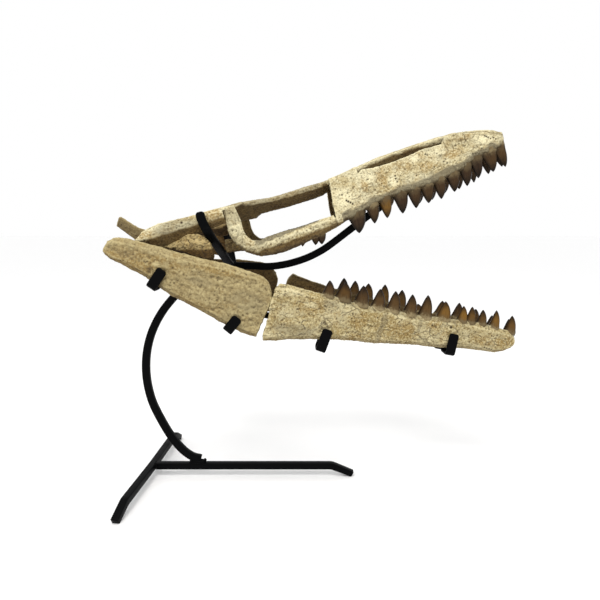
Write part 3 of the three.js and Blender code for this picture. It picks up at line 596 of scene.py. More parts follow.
def bone_material(name, pitch, pale, tan, ochre, dirt_and_shade, speckle=0.6, streaks=0.35, fine_cracks=0.6):
    """Dry fossil bone whose grain runs along a jaw tilted by that many degrees."""
    bone = Shader(name)
    ramp, times = bone.ramp, bone.times
    place = bone.node("NewGeometry", {})
    along = bone.node("Mapping", {0: place, 2: (0, math.radians(pitch), 0)})
    stretched = bone.node("Mapping", {0: along, 3: (0.25, 1, 1)})
    wander = bone.noise(place, 60.0, 3.0, out=1)

    def bent(sway):
        """The stretched place, bent sideways by that many metres, for lines that wander."""
        return bone.node("VectorMath", {0: wander, 1: (sway, sway, sway), 2: stretched},
                         operation="MULTIPLY_ADD")

    broad = bone.noise(along, 16.0, 4.0, 0.6)
    patch = bone.noise(place, 36.0, 5.0, 0.68)
    mottle = bone.noise(place, 150.0, 4.0, 0.7)
    streak = bone.noise(stretched, 260.0, 4.0, 0.6)
    speck = bone.noise(place, 330.0, 3.0, 0.75)
    swayed = bent(0.016)
    plate_tone = bone.node("SeparateXYZ", {0: bone.plates(swayed, 34.0, out=1)})
    seam = bone.plates(swayed, 34.0, "DISTANCE_TO_EDGE")
    long_crack = bone.plates(bent(0.010), 62.0, "DISTANCE_TO_EDGE")
    pore = bone.plates(place, 230.0)
    hollow = bone.mask("hollow")

    chalk = tuple(min(c * 1.25, 0.8) for c in pale)
    colour = bone.layers(
        pale,
        (ramp(broad, 0.40, 0.62), tan),
        (ramp(plate_tone, 0.45, 0.5, 0.55), tan),
        (ramp(patch, 0.54, 0.62, 0.5), ochre),
        (times(bone.mask("ochre"), ramp(patch, 0.3, 0.5, 0.9)), ochre),
        (ramp(patch, 0.46, 0.36, 0.6), chalk),
        (bone.mask("chalk"), chalk),
        (ramp(mottle, 0.46, 0.36, 0.6), chalk),
        (ramp(mottle, 0.54, 0.66, speckle), ochre),
        (ramp(streak, 0.54, 0.70, streaks), dirt_and_shade),
        (ramp(speck, 0.55, 0.64, speckle), dirt_and_shade),
        (ramp(speck, 0.44, 0.34, speckle), chalk),
        # Hollows take dirt and painted shade.
        (ramp(hollow, 0.56, 0.95, 0.75), dirt_and_shade),
        (ramp(hollow, 0.42, 0.1, 0.6), chalk),
        # The gum mask lays grey filler, and painted shade along the cheek bars' tops.
        (times(bone.mask("gum"), ramp(speck, 0.9, 0.5, 0.92)), FILLER_AND_SHADE))
    # Painted shade in brown on faces that look down or in, and below each shade line.
    under = bone.maths("MAXIMUM", bone.mask("under"), bone.mask("inner"))
    colour = bone.mix(times(under, 0.96), colour, UNDER_SHADE, "MULTIPLY")

    crack = times(ramp(seam, 0.028, 0.010), ramp(patch, 0.48, 0.54, fine_cracks))
    pitted = times(ramp(pore, 0.26, 0.14), ramp(patch, 0.52, 0.42, fine_cracks))
    split = times(ramp(long_crack, 0.045, 0.015), ramp(patch, 0.54, 0.46, streaks * 1.6))
    crack = bone.maths("MAXIMUM", bone.maths("MAXIMUM", crack, pitted), split)
    deep = bone.maths("MAXIMUM", times(bone.mask("split"), 0.75), bone.mask("hole"))
    colour = bone.layers(
        colour,
        # The smudge mask lays dark stains, and painted shade along the cheek bars' feet.
        (times(bone.mask("smudge"), ramp(mottle, 0.3, 0.6, 0.8)), CRACK_SHADE),
        (bone.maths("MAXIMUM", crack, deep), CRACK_SHADE))

    relief = bone.maths("SUBTRACT", times(streak, 0.4), crack)
    relief = bone.maths("ADD", relief, times(speck, -0.8))
    relief = bone.maths("ADD", relief, times(mottle, -0.8))
    bone.surface(colour, ramp(speck, 0.3, 0.7, 0.72, 0.95), 0.25, relief, 1.0, 0.0012)
    return bone.material


cranium_bone = bone_material(
    "cream_cranium_bone", CRANIUM_PITCH, pale=(0.60, 0.545, 0.35), tan=(0.41, 0.325, 0.155),
    ochre=(0.38, 0.265, 0.105), dirt_and_shade=(0.12, 0.085, 0.040), speckle=0.5, streaks=0.2, fine_cracks=0.45)
dentary_bone = bone_material(
    "golden_dentary_bone", JAW_PITCH, pale=(0.54, 0.472, 0.278), tan=(0.365, 0.278, 0.115),
    ochre=(0.315, 0.208, 0.064), dirt_and_shade=(0.11, 0.075, 0.033), speckle=0.72, streaks=0.38, fine_cracks=0.24)
rear_jaw_bone = bone_material(
    "tan_jaw_bone", JAW_PITCH, pale=(0.385, 0.318, 0.163), tan=(0.298, 0.228, 0.104),
    ochre=(0.28, 0.19, 0.066), dirt_and_shade=(0.12, 0.085, 0.040), speckle=0.24, streaks=0.14, fine_cracks=0.3)
# A darker copy of the bone for the bones deep inside the skull, with painted shade in its tones.
shaded_brown_bone = bone_material(
    "shaded_brown_inner_bone", CRANIUM_PITCH, pale=(0.30, 0.225, 0.105), tan=(0.20, 0.135, 0.055),
    ochre=(0.34, 0.225, 0.075), dirt_and_shade=(0.040, 0.027, 0.013), speckle=0.8)
hinge_bone = bone_material(
    "golden_hinge_bone", CRANIUM_PITCH, pale=(0.40, 0.31, 0.145), tan=(0.29, 0.205, 0.08),
    ochre=(0.36, 0.24, 0.08), dirt_and_shade=(0.045, 0.030, 0.014), speckle=0.8)
print("five bone materials")

# %% [markdown]
# ## Dressing one bone
#
# Every bone goes through the same steps: copy the solid, press its spikes, give it a skin, wear
# it, paint it and let it ride on the part. A stack of modifiers could hold some of them, but not
# the paint. One function keeps the steps in one place, and the cells after it say only what
# differs. Spots, chalky, smudges and fillers are tables of ellipses to paint; on the cheek bars
# the smudges and fillers are painted shade. Shaded_below gives the height below which the bone
# gets painted shade, and shape is a function that reshapes the skin.

# %% Make a bone
GLUE = 0.7             # mm that joined blocks swell, so that they meet
GUM_FILLER_END = 812   # u at which the filler along the gums has run out


def make_bone(name, nodes, material, matrix=CRANIUM, gum=None, up=-1, tooth_row_start=424,
              teeth=(), spots=(), holes=(), chalky=(), smudges_and_shade=(), fillers_and_shade=(), shaded_below=None,
              shape=None, gum_depth=0.0, gum_strength=1.0, fill_and_shade=0.5, inner_shade=1.0,
              under_shade=1.0, swell=1.0, lump=0.8, grit=0.7, cracked=0.5, pitted=0.9):
    """Copies, wears, paints and places one bone. Heights and depths are in mm, shares from 0 to 1."""
    piece = copy_of(nodes, name, GLUE if len(nodes) > 1 else 0.0)
    if gum is not None:
        press_teeth(piece, matrix, gum, up, tooth_row_start)
    even_skin(piece)
    if shape is not None:
        set_vertices(piece, moved(matrix, shape(in_frame(piece, matrix))))
    wear(piece, matrix, swell, lump, grit, cracked, pitted)
    if gum is not None:
        swell_sockets(piece, matrix, gum, up, teeth)
    drill(piece, matrix, holes)
    keep_in_box(piece)
    shade_masks(piece, matrix, shaded_below, inner_shade, under_shade)
    table = in_frame(piece, matrix)
    # The smudge table holds dark stains, and painted shade along the cheek bars' feet.
    for label, ellipses in (("ochre", spots), ("chalk", chalky), ("smudge", smudges_and_shade)):
        paint(piece, label, soft_spots(table, ellipses))
    gummed = 0.0
    if gum_depth:
        u, _, w = table.T
        height = (gum(u) - w) * up
        reach = gum_depth * (1 + 0.35 * grain(table, 34, 22)) + 2.5 * grain(table, 11, 21)
        reach *= np.clip((GUM_FILLER_END - u) / 16, 0.05, 1)
        gummed = np.clip((reach - height) / 5 + 0.5, 0, 1) * (u > tooth_row_start + 12)
    # Filler patches from the table; along the cheek bars' tops they are painted shade.
    patched = fill_and_shade * np.clip(soft_spots(table, fillers_and_shade) * 1.6 - 0.3, 0, 1)
    paint(piece, "gum", np.maximum(gummed * gum_strength, patched))
    piece.data.materials.append(material)
    piece.data.shade_smooth()
    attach(piece, "root")
    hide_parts(*nodes)
    print(name, len(piece.data.polygons), "faces")


# %% [markdown]
# ## The snout
#
# The maxillae are the long walls of the snout that carry the teeth, the premaxilla is its tip
# with the bar between the nostril slots, and the prefrontals close the wall in front of the
# eyes. Filler has made one surface of them, so they share a skin. They are cream, with grey
# filler along the gums and a few vessel holes. The cheek bars under the eyes join them, with
# painted shade along their tops, their feet and their lower halves, as on the flanks of the bar
# between the nostril slots. Each spot in the tables is an ellipse.

# %% Snout and palate
SNOUT = ["premaxilla"] + [f"{bone}_{word}" for bone in ("maxilla", "prefrontal", "jugal") for word in SIDES]
FRONT_TEETH = [(u + lean, length * 0.55) for u, _, length, lean in UPPER_TEETH["right"]]
SNOUT_HOLES = [
    (448, 10, 1.8), (461, 11, 1.4), (454, -4, 2.0), (457, -7, 2.2), (461, -10, 2.0), (465, -14, 1.8),
    (520, 2, 1.4), (511, 27, 1.5), (519, 37, 1.3), (570, 19, 1.8), (570, 13, 1.7), (571, 6, 1.6),
    (615, 8, 1.4), (648, 47, 1.7), (651, 44, 1.6), (658, 15, 1.5), (682, 21, 1.6), (688, 16, 1.5),
    (737, 42, 1.4), (749, 20, 1.6), (786, 51, 1.9), (789, 49, 2.0), (792, 46, 1.8), (796, 42, 1.5),
    (803, 42, 1.7), (807, 38, 1.6), (771, 26, 1.5)]
SNOUT_SPOTS = [
    (541, 16, 12, 26), (592, 34, 26, 14), (640, 20, 18, 12), (652, 44, 24, 10), (700, 30, 24, 12),
    (500, 16, 8, 14), (740, 60, 24, 7)]
SNOUT_CHALK = [
    (216, 5, 18, 36), (290, -45, 30, 5), (350, -42, 40, 4), (448, 2, 22, 26), (562, 10, 12, 14),
    (515, 30, 10, 12), (620, 44, 14, 9), (676, 44, 16, 10), (780, 44, 22, 12)]
# Painted shade along the cheek bars' tops, then a darker painted shade along their feet.
CHEEK_BAR_TOP_SHADE = [
    (256, -37, 12, 8), (276, -34, 14, 7.5), (298, -33, 14, 7), (320, -32, 14, 5.5), (345, -30, 16, 5),
    (372, -27.5, 16, 4.5)]
CHEEK_BAR_FOOT_SHADE = [
    (262, -66, 12, 5), (280, -68.5, 13, 6), (298, -68.5, 13, 6), (316, -67.5, 13, 6),
    (334, -65.5, 13, 5.5), (352, -62.5, 12, 5), (368, -59.5, 10, 4)]
# Lines below which the snout gets painted shade: the flank of the bar between the nostril slots, and the
# cheek bars' lower halves.
SLOT_TOP = line((487, 48), (530, 60), (575, 65), (640, 68), (680, 65), (700, 62), (735, 60), (740, 40))
CHEEK_EDGE = line(
    (205, -80), (236, -66), (252, -55), (280, -54), (308, -53), (338, -51), (372, -47), (424, -42),
    (452, -60))


def snout_edge(table):
    """Height below which the snout gets painted shade: the bar between the nostrils, and the cheeks."""
    u, y, _ = table.T
    on_bar = (np.abs(y) < 9.5) & (u > 500) & (u < 738)
    return np.where(on_bar, SLOT_TOP(u), CHEEK_EDGE(u))


def shape_snout(table):
    """Reshapes the eye socket's front, the snout's tip, the nostril slots and the cheek bars."""
    u, y, w = table.T
    # The socket's front edge slants forward.
    u += 6 * fade(w, -5, 45) * fade(u, 470, -46) * (u > 418)
    # The tip of the snout is blunt.
    brow = np.exp(-((u - 826) / 6) ** 2 - ((w - 46) / 6) ** 2)
    u += 3 * brow - 6 * fade(w, 36, -12) * fade(u, 812, 14)
    w += 3 * brow
    # The slots' rims sink, and bone closes the slots' front ends.
    rim = (np.abs(y) > 10) * fade(w, 48, 8)
    closed = fade(u, 688, 16) * (u < 740)
    w -= 2.5 * rim * fade(u, 640, 40) * (1 - closed)
    w[:] = np.maximum(w, np.minimum(w + 16 * rim * closed, 72))
    # The cheek bar's top is raised, and the head of its upright laps over the roof's edge.
    w += 3 * fade(u, 244, 24) * fade(u, 412, -16) * (fade(w, -52, 10) * fade(w, -8, -10))
    head = fade(w, 16, 20) * (u < 250)
    u -= 2 * head
    y *= 1 + 0.06 * head
    w += 10 * head
    return table


make_bone("snout_and_cheeks", SNOUT, cranium_bone, gum=UPPER_GUM, teeth=FRONT_TEETH,
          spots=SNOUT_SPOTS, holes=SNOUT_HOLES, gum_depth=15, chalky=SNOUT_CHALK,
          shaded_below=snout_edge, shape=shape_snout, fillers_and_shade=CHEEK_BAR_TOP_SHADE, fill_and_shade=1.0,
          smudges_and_shade=CHEEK_BAR_FOOT_SHADE)
make_bone("palate_floor", ["palate"], shaded_brown_bone)

# %% [markdown]
# ## The skull roof, the cheeks and the hinge
#
# Behind the eyes the skull is a cage of bars. They are worn a little less than the snout,
# because a thin bar that is rounded too much soon looks like wax. The roof bones share a skin,
# as filler has closed their seams. The hinge bones only touch their neighbours, so each stays a
# piece of its own, left porous, and brown where painted shade lies on their lower parts. The
# braincase and the throat rods get a darker bone, with painted shade in its tones.

# %% Roof, cheek and hinge bones
ROOF = ["frontal", "parietal"]
for word in SIDES:
    ROOF += [f"postorbital_{word}", f"temporal_arch_{word}"]
# Below this line the roof bones get painted shade.
ROOF_EDGE = line(
    (16, 26), (60, 29), (106, 30), (150, 31), (200, 31), (214, 39), (228, 43), (261, 41), (314, 37),
    (355, 38), (408, 40), (424, 44), (440, 20))
ROOF_SPOTS = [(178, 42, 30, 12), (250, 50, 34, 9), (335, 46, 40, 9), (400, 48, 30, 8), (40, 38, 20, 6)]
ROOF_FILLERS = [(252, 52, 52, 14), (365, 50, 62, 14), (100, 38, 50, 14)]
# Below this line the hinge bones get painted shade.
HINGE_EDGE = line((52, -1), (84, -6), (120, -14), (150, -24))


def lower_arch_edge(table):
    """Lowers the underside of the temporal arch, so that it meets the hinge bones below it."""
    u, _, w = table.T
    w -= 5 * (np.exp(-((u - 78) / 36) ** 4) * fade(w, 30, -14))
    return table


def widen_hinge(table):
    """Brings the front edge of a hinge bone forward, and its upper edge up under the arch."""
    u, _, w = table.T
    upper = fade(w, -2, 16) * fade(u, 60, 40)
    u += 7 * fade(u, 120, 28)
    w += 5 * upper
    return table


make_bone("skull_roof", ROOF, cranium_bone, holes=[(114, 42, 2.2)], swell=0.8,
          spots=ROOF_SPOTS, chalky=[(120, 36, 22, 6), (205, 46, 9, 8)],
          shaded_below=lambda table: ROOF_EDGE(table[:, 0]), shape=lower_arch_edge,
          fillers_and_shade=ROOF_FILLERS, fill_and_shade=0.6)
make_bone("brain_case", ["braincase"], shaded_brown_bone)
for word in SIDES:
    make_bone(f"hinge_strut_{word}", [f"suspensorium_{word}"], rear_jaw_bone, swell=0.6,
              inner_shade=0.4)
    make_bone(f"hinge_bone_{word}", [f"quadrate_{word}"], hinge_bone, lump=1.8, pitted=2.0,
              shape=widen_hinge, shaded_below=lambda table: HINGE_EDGE(table[:, 0]))
    make_bone(f"throat_rod_{word}", [f"pterygoid_{word}"], shaded_brown_bone, gum=THROAT_GUM,
              tooth_row_start=300, swell=0.5, lump=0.7)

# %% [markdown]
# ## The lower jaw
#
# Each half is two bones: the toothed dentary in front and the plain rear jaw bone behind. The
# dentary shows long grain and golden patches, the rear bone is smoother and evenly tan. The
# left half isn't a mirror of the right one: it has slipped in its clips, so the loop builds
# each side from its own solids.

# %% Lower jaw bones
DENTARY_SPOTS = [
    (440, -25, 34, 16), (546, -35, 18, 18), (649, -40, 36, 22), (742, -38, 18, 14), (857, -31, 44, 12),
    (905, -24, 18, 12), (716, -18, 14, 12), (545, -74, 26, 10)]
DENTARY_CHALK = [(366, -98, 12, 8), (868, 8, 40, 6), (390, -3, 24, 8), (438, -22, 14, 7)]
DENTARY_FILLERS = [
    (601, -26, 7, 22), (596, -60, 7, 20), (684, -18, 5, 24), (415, -80, 50, 14), (480, -12, 22, 7)]
DENTARY_HOLES = [
    (759, -16, 2.6), (713, -19, 1.8), (532, -2, 1.7), (538, -3, 1.7), (543, -4, 1.5), (640, -18, 1.3),
    (585, -24, 1.4), (820, -16, 1.3), (862, -18, 1.3), (412, -36, 1.6), (853, -47, 1.6), (858, -48, 1.5),
    (865, -48, 1.6), (871, -48, 1.4)]
REAR_JAW_SPOTS = [(80, -10, 70, 24), (120, 2, 60, 8), (250, 8, 60, 8), (180, -70, 70, 12), (30, -10, 20, 10)]
REAR_JAW_FILLERS = [(310, -40, 44, 22), (60, 2, 24, 9), (210, -20, 30, 10)]
REAR_JAW_SMUDGES = [(110, -19, 7, 9), (128, -40, 10, 14), (296, -84, 8, 12)]


def break_rear_end(table):
    """Roughens the broken rear end of a dentary, and draws its lower corner out."""
    u, y, w = table.T
    near = fade(u, 378, -16)
    ragged = 2.0 * grain(table, 5, 30) + 1.5 * grain(table, 11, 31)
    corner = near * fade(w, -78, -14)
    u += near * ragged - 3 * corner
    w -= 4 * corner
    u -= 8 * ((y > 0) * fade(u, 420, -50))    # the left one is longer
    return table


for word in SIDES:
    sockets = [(u + 4, length * 0.55) for u, _, length in LOWER_TEETH[word]]
    make_bone(f"tooth_jaw_{word}", [f"dentary_{word}"], dentary_bone, matrix=DENTARY[word],
              gum=LOWER_GUM, up=1, tooth_row_start=440, teeth=sockets, spots=DENTARY_SPOTS,
              holes=DENTARY_HOLES, gum_depth=7, fillers_and_shade=DENTARY_FILLERS, shape=break_rear_end,
              chalky=DENTARY_CHALK, gum_strength=0.45, lump=0.9, under_shade=0.5, cracked=0.35)
    make_bone(f"rear_jaw_bone_{word}", [f"rear_jaw_{word}"], rear_jaw_bone, matrix=LOWER_JAW,
              swell=1.2, lump=1.7, grit=0.5, cracked=0.2, pitted=0.6, under_shade=0.5,
              smudges_and_shade=REAR_JAW_SMUDGES, fillers_and_shade=REAR_JAW_FILLERS, fill_and_shade=0.3, spots=REAR_JAW_SPOTS,
              chalky=[(120, -5, 9, 5)])

# %% [markdown]
# ## Teeth
#
# A mosasaur's tooth is a stout cone that leans back, with a sharp ridge in front and behind and
# faint flutes between them. A cone primitive would be too plain, so each tooth is a stack of
# rings drawn by one function: the rings shrink towards a blunt tip, lean back as they rise, and
# carry the ridges. Three masks go with them: the height on the tooth, the place around it and
# the tooth's own tone.

# %% Shape of a tooth
TOOTH_SIDES = 40
TOOTH_RISES = np.array([-0.16, -0.08, 0.0, 0.06, 0.12, 0.19, 0.26, 0.34, 0.42, 0.5, 0.58, 0.66, 0.73,
                        0.8, 0.86, 0.91, 0.95, 0.98, 0.995])


def tooth(u, y, root, up, side, height, length, width, lean, twist, heel=0.1, belly=0.0):
    """Rings of one tooth in its jaw's frame, root first."""
    turn = np.linspace(0, 2 * math.pi, TOOTH_SIDES, endpoint=False)
    ridge = np.exp(-(np.minimum(turn, 2 * math.pi - turn) / 0.13) ** 2)
    ridge += np.exp(-((turn - math.pi) / 0.13) ** 2)
    rings = []
    for rise in TOOTH_RISES:
        above = max(rise, 0)
        flare = 1.03 + 0.15 * math.exp(-(max(rise, -0.05) / 0.13) ** 2)
        front = flare * (1 - above ** 2.2) ** 0.7 + belly * 4 * above * (1 - above)
        rear = (flare + heel * math.exp(-(above / 0.3) ** 2)) * (1 - above ** 1.65) ** 0.8
        flute = 1 + 0.022 * np.cos(9 * turn + twist) * (1 - above) + 0.06 * ridge * above ** 0.4
        along = np.cos(turn) * np.where(np.cos(turn) > 0, front, rear)
        outwards = np.sin(turn) * (front + rear) / 2
        middle = u + lean * (1 - above ** 2)
        bow = side * -0.9 * above ** 2
        rings.append(np.stack([
            middle + along * flute * length / 2,
            y + bow + outwards * flute * width / 2,
            np.full(TOOTH_SIDES, root + up * rise * height),
        ], axis=1))
    return np.array(rings)


print("a tooth has", TOOTH_SIDES * len(TOOTH_RISES) + 1, "points")

# %% [markdown]
# ## A row of teeth
#
# Stacked rings become a solid when faces join each ring to the next and close both ends. Blender
# can bridge edge loops, but faces over numbered points are quicker and come out the same each
# time. A row is one object, because its teeth move together and share one material.

# %% Walls between rings, and a row of teeth
def walls(first, levels, sides):
    """Faces between rings of points, the first ring starting at that point."""
    faces = []
    for a in range(first, first + (levels - 1) * sides, sides):
        for i in range(sides):
            j = (i + 1) % sides
            faces.append((a + i, a + j, a + j + sides, a + i + sides))
    return faces


def closed_piece(name, points, faces):
    """An object from points in metres, with all its faces turned outwards."""
    mesh = bpy.data.meshes.new(name)
    mesh.from_pydata([tuple(p) for p in points], [], faces)
    skin = bmesh.new()
    skin.from_mesh(mesh)
    bmesh.ops.recalc_face_normals(skin, faces=skin.faces)
    skin.to_mesh(mesh)
    skin.free()
    return put_in_scene(name, mesh)


def tooth_row(name, matrix, teeth, material):
    """One object with a row of teeth; each tooth is (rings, tone, amber)."""
    points, faces, masks = [], [], []
    levels = len(TOOTH_RISES)
    rises = [*np.repeat(TOOTH_RISES, TOOTH_SIDES), 1.0]
    arounds = [*np.tile(np.linspace(0, 1, TOOTH_SIDES, endpoint=False), levels), 0.0]
    for rings, tone, amber in teeth:
        first = len(points)
        points.extend(moved(matrix, rings.reshape(-1, 3)))
        below, last_middle = rings[-2].mean(axis=0), rings[-1].mean(axis=0)
        tip = last_middle + (last_middle - below) * 0.4
        points.append(moved(matrix, [tip])[0])
        top = first + levels * TOOTH_SIDES
        last = top - TOOTH_SIDES
        faces.extend(walls(first, levels, TOOTH_SIDES))
        faces.extend((last + i, last + (i + 1) % TOOTH_SIDES, top) for i in range(TOOTH_SIDES))
        faces.append(tuple(first + i for i in reversed(range(TOOTH_SIDES))))
        masks.extend((rise, around, tone, amber) for rise, around in zip(rises, arounds))
    piece = closed_piece(name, points, faces)
    for label, values in zip(("rise", "around", "tone", "amber"), np.array(masks).T):
        paint(piece, label, values)
    piece.data.materials.append(material)
    piece.data.shade_smooth()
    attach(piece, "root")
    print(name, len(teeth), "teeth")
    return piece


print("tooth rows can be made")

# %% [markdown]
# ## Enamel
#
# Fossil enamel keeps some gloss. It is pale brown at the root, dark chocolate to purple in the
# middle and nearly black at the tip. A few teeth have turned amber. Painted shade darkens each
# tooth towards its front and back edges. The gradient follows the rise mask, and fine streaks
# run up the tooth because their noise is stretched along it.

# %% Enamel material
ROOT_BROWN = (0.100, 0.070, 0.034)
CHOCOLATE = (0.085, 0.046, 0.015)
PLUM = (0.030, 0.016, 0.008)
NEAR_BLACK = (0.004, 0.0028, 0.002)
AMBER = (0.21, 0.105, 0.018)
CEMENT = (0.30, 0.235, 0.125)


def enamel_material():
    enamel = Shader("dark_fossil_enamel")
    ramp, times, maths = enamel.ramp, enamel.times, enamel.maths
    place = enamel.node("NewGeometry", {})
    rise, tone, around = (enamel.mask(name) for name in ("rise", "tone", "around"))
    up_tooth = enamel.node("CombineXYZ", {0: times(around, 26.0), 1: times(rise, 1.6), 2: times(tone, 40.0)})
    streak = enamel.noise(up_tooth, 1.4, 3.0)
    stain = enamel.noise(place, 130.0, 4.0, 0.6)
    level = maths("ADD", rise, times(maths("SUBTRACT", stain, 0.5), 0.5))
    # Painted shade: each tooth darkens towards its front and back edges.
    half_turn = maths("FRACT", times(around, 2.0))
    edge = maths("ABSOLUTE", maths("SUBTRACT", half_turn, 0.53))
    body = enamel.layers(CHOCOLATE, (tone, PLUM), (enamel.mask("amber"), AMBER))
    colour = enamel.layers(
        ROOT_BROWN,
        (ramp(level, -0.02, 0.3), body),
        (times(ramp(streak, 0.55, 0.75), 0.5), NEAR_BLACK),
        (times(ramp(streak, 0.42, 0.28), 0.3), ROOT_BROWN),
        # Painted shade towards the front and back edges.
        (ramp(edge, 0.16, 0.42, 0.8), NEAR_BLACK),
        (ramp(level, 0.46, 0.94, 0.92), NEAR_BLACK),
        (times(ramp(level, 0.14, -0.04, 0.8), ramp(tone, 0.9, 0.2)), CEMENT))
    relief = maths("ADD", streak, times(stain, 0.6))
    skin = enamel.surface(colour, ramp(stain, 0.35, 0.7, 0.42, 0.2), 0.07, relief, 0.35, 0.0004)
    skin["Coat Weight"].default_value = 0.05
    skin["Coat Roughness"].default_value = 0.16
    return enamel.material


dark_enamel = enamel_material()
print("enamel ready")

# %% [markdown]
# ## The four rows of jaw teeth
#
# Teeth could be scattered evenly along the gum, but a real row is uneven, with gaps and young
# teeth in it. So tables say where each tip stands. The tone of each tooth is drawn from a fixed
# sequence, so that the rows look the same on every run, and the amber ones are picked by place.

# %% Jaw teeth
UPPER_AMBER = {"right": {532: 0.6}, "left": {}}
LOWER_AMBER = {"right": {499: 0.2, 734: 0.55, 780: 0.8, 801: 0.35, 829: 0.2, 862: 0.6, 904: 0.35},
               "left": {545: 0.3, 578: 0.45, 617: 0.5, 659: 0.3, 755: 0.3}}
UPPER_INSET = 10    # mm from the outer face of the jaw to the middle of a tooth
LOWER_INSET = 12
FULLER = 1.06       # share by which a crown is longer than its outline
draw = np.random.default_rng(7)

for word, side in SIDES.items():
    row = []
    for u, height, length, lean in UPPER_TEETH[word]:
        root = float(UPPER_GUM(u + lean))
        crown = height + root - float(UPPER_GUM(u)) + 1.5
        y = side * max(float(UPPER_FACE(u)) - UPPER_INSET, 7)
        in_front = u > 800
        width = 11 if in_front else 16
        rings = tooth(u, y, root, -1, side, crown, length * FULLER, width, lean, draw.uniform(0, 6),
                      heel=0.55 if u > 740 else 0.1, belly=0.2 if in_front else 0.0)
        row.append((rings, draw.uniform(0.4, 1), UPPER_AMBER[word].get(u, 0.0)))
    tooth_row(f"upper_teeth_{word}", CRANIUM, row, dark_enamel)
    row = []
    for u, tip, length in LOWER_TEETH[word]:
        root = float(LOWER_GUM(u))
        y = side * (float(LOWER_FACE(u)) - LOWER_INSET)
        rings = tooth(u, y, root, 1, side, tip - root, length * FULLER, 15, 4, draw.uniform(0, 6))
        row.append((rings, draw.uniform(0, 0.8), LOWER_AMBER[word].get(u, 0.0)))
    keep_in_box(tooth_row(f"lower_teeth_{word}", DENTARY[word], row, dark_enamel))

# %% [markdown]
# ## Throat teeth
#
# Mosasaurs carried a second, shorter set of teeth on the roof of the throat. They are small and
# hooked. The tooth function draws them too, with smaller numbers, and they stand along the
# throat rods, which draw in towards the front.

# %% Throat teeth
THROAT_ROOT = -61    # w of the rods' lower face

for word, side in SIDES.items():
    row = []
    for u, height in THROAT_TEETH:
        y = side * (32 + (u - 336) * (26 - 32) / 49)
        rings = tooth(u, y, THROAT_ROOT, -1, side, height, height * 0.9, 8, 4, draw.uniform(0, 6))
        row.append((rings, draw.uniform(0.6, 1), 0.0))
    tooth_row(f"throat_teeth_{word}", CRANIUM, row, dark_enamel)

# %% [markdown]
# ## The black coat
#
# The stand is bent and welded bar under a satin black coat. Under a soft light such a coat shows
# broad dim highlights and a faint orange-peel ripple. Its upper faces turn a little grey, with
# dust and painted sheen.
# A plain black material would look like a hole in the render, so noise varies its gloss.

# %% Black coat material
BLACK = (0.0015, 0.0016, 0.0019)
# Grey of dust and painted sheen on the upper faces.
DUST_AND_SHEEN = (0.003, 0.003, 0.0033)


def coat_material():
    coat = Shader("satin_black_coat")
    place = coat.node("NewGeometry", {})
    upward = coat.node("SeparateXYZ", {0: coat.node("NewGeometry", {}, 1)}, 2)
    peel = coat.noise(place, 900.0, 2.0)
    smudge = coat.noise(place, 40.0, 4.0)
    # Upper faces turn grey: dust and painted sheen.
    dust_and_sheen = coat.times(coat.ramp(upward, 0.4, 1.0), coat.ramp(smudge, 0.35, 0.65))
    colour = coat.mix(coat.times(dust_and_sheen, 0.7), BLACK, DUST_AND_SHEEN)
    coat.surface(colour, coat.ramp(smudge, 0.3, 0.7, 0.54, 0.4), 0.04, peel, 0.25, 0.0002)
    return coat.material


black_coat = coat_material()
print("black coat ready")

# %% [markdown]
# ## Bent bar
#
# Every bar of the stand is one section swept along one path. Blender's curve bevel could sweep
# it, but a curve twists its section at will. The helpers below round each bend as a bar bender
# does, tell which way a path heads, and draw a section with broken edges.

# %% Paths and sections
def rounded_bends(points, radius, steps=7):
    """The path through those points, with an arc of that radius at each bend."""
    points = [Vector(p) for p in points]
    path = [points[0]]
    for before, corner, after in zip(points, points[1:], points[2:]):
        back = before - corner
        ahead = after - corner
        half = (math.pi - back.angle(ahead)) / 2
        if half < 0.02:
            path.append(corner)
            continue
        reach = min(radius * math.tan(half), back.length * 0.48, ahead.length * 0.48)
        start = corner + back.normalized() * reach
        end = corner + ahead.normalized() * reach
        for i in range(steps + 1):
            t = i / steps
            path.append(start.lerp(corner, t).lerp(corner.lerp(end, t), t))
    path.append(points[-1])
    return path


def through(points, steps=8):
    """A smooth path through those points."""
    points = [Vector(p) for p in points]
    padded = [points[0] * 2 - points[1], *points, points[-1] * 2 - points[-2]]
    path = []
    for a, b, c, d in zip(padded, padded[1:], padded[2:], padded[3:]):
        for i in range(steps):
            t = i / steps
            path.append(0.5 * (2 * b + (c - a) * t + (2 * a - 5 * b + 4 * c - d) * t ** 2
                               + (3 * b - a - 3 * c + d) * t ** 3))
    path.append(points[-1])
    return path


def run_of(path):
    """How far along the path each of its points lies, and the way it heads there."""
    reach = np.cumsum([0] + [(b - a).length for a, b in zip(path, path[1:])])
    around = zip(path[:1] + path[:-1], path[1:] + path[-1:])
    return reach, [(after - before).normalized() for before, after in around]


def profile(depth, width, corner, steps=3):
    """Points around a bar's rounded section, as (across, deep) pairs."""
    ring = []
    for k, (a, b) in enumerate(((1, 1), (-1, 1), (-1, -1), (1, -1))):
        for i in range(steps + 1):
            turn = math.pi / 2 * (k + i / steps)
            ring.append((a * (width / 2 - corner) + corner * math.cos(turn),
                         b * (depth / 2 - corner) + corner * math.sin(turn)))
    return ring


print("a section has", len(profile(12, 12, 1.6)), "points")

# %% [markdown]
# ## Sweeping the bar
#
# The section is set down at each point of the path, square to the way it heads, and walls join
# the rings. A sawn end is sharp, but grinding and the coat blunt it, so the first and last rings
# shrink along a small quarter circle. A bevel modifier would need clean edges to do the same.

# %% Sweep a section along a path
def black_piece(name, table, faces):
    """An object of black steel from points in metres and their faces."""
    piece = closed_piece(name, table, faces)
    piece.data.materials.append(black_coat)
    piece.data.shade_smooth()
    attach(piece, "root")
    return piece


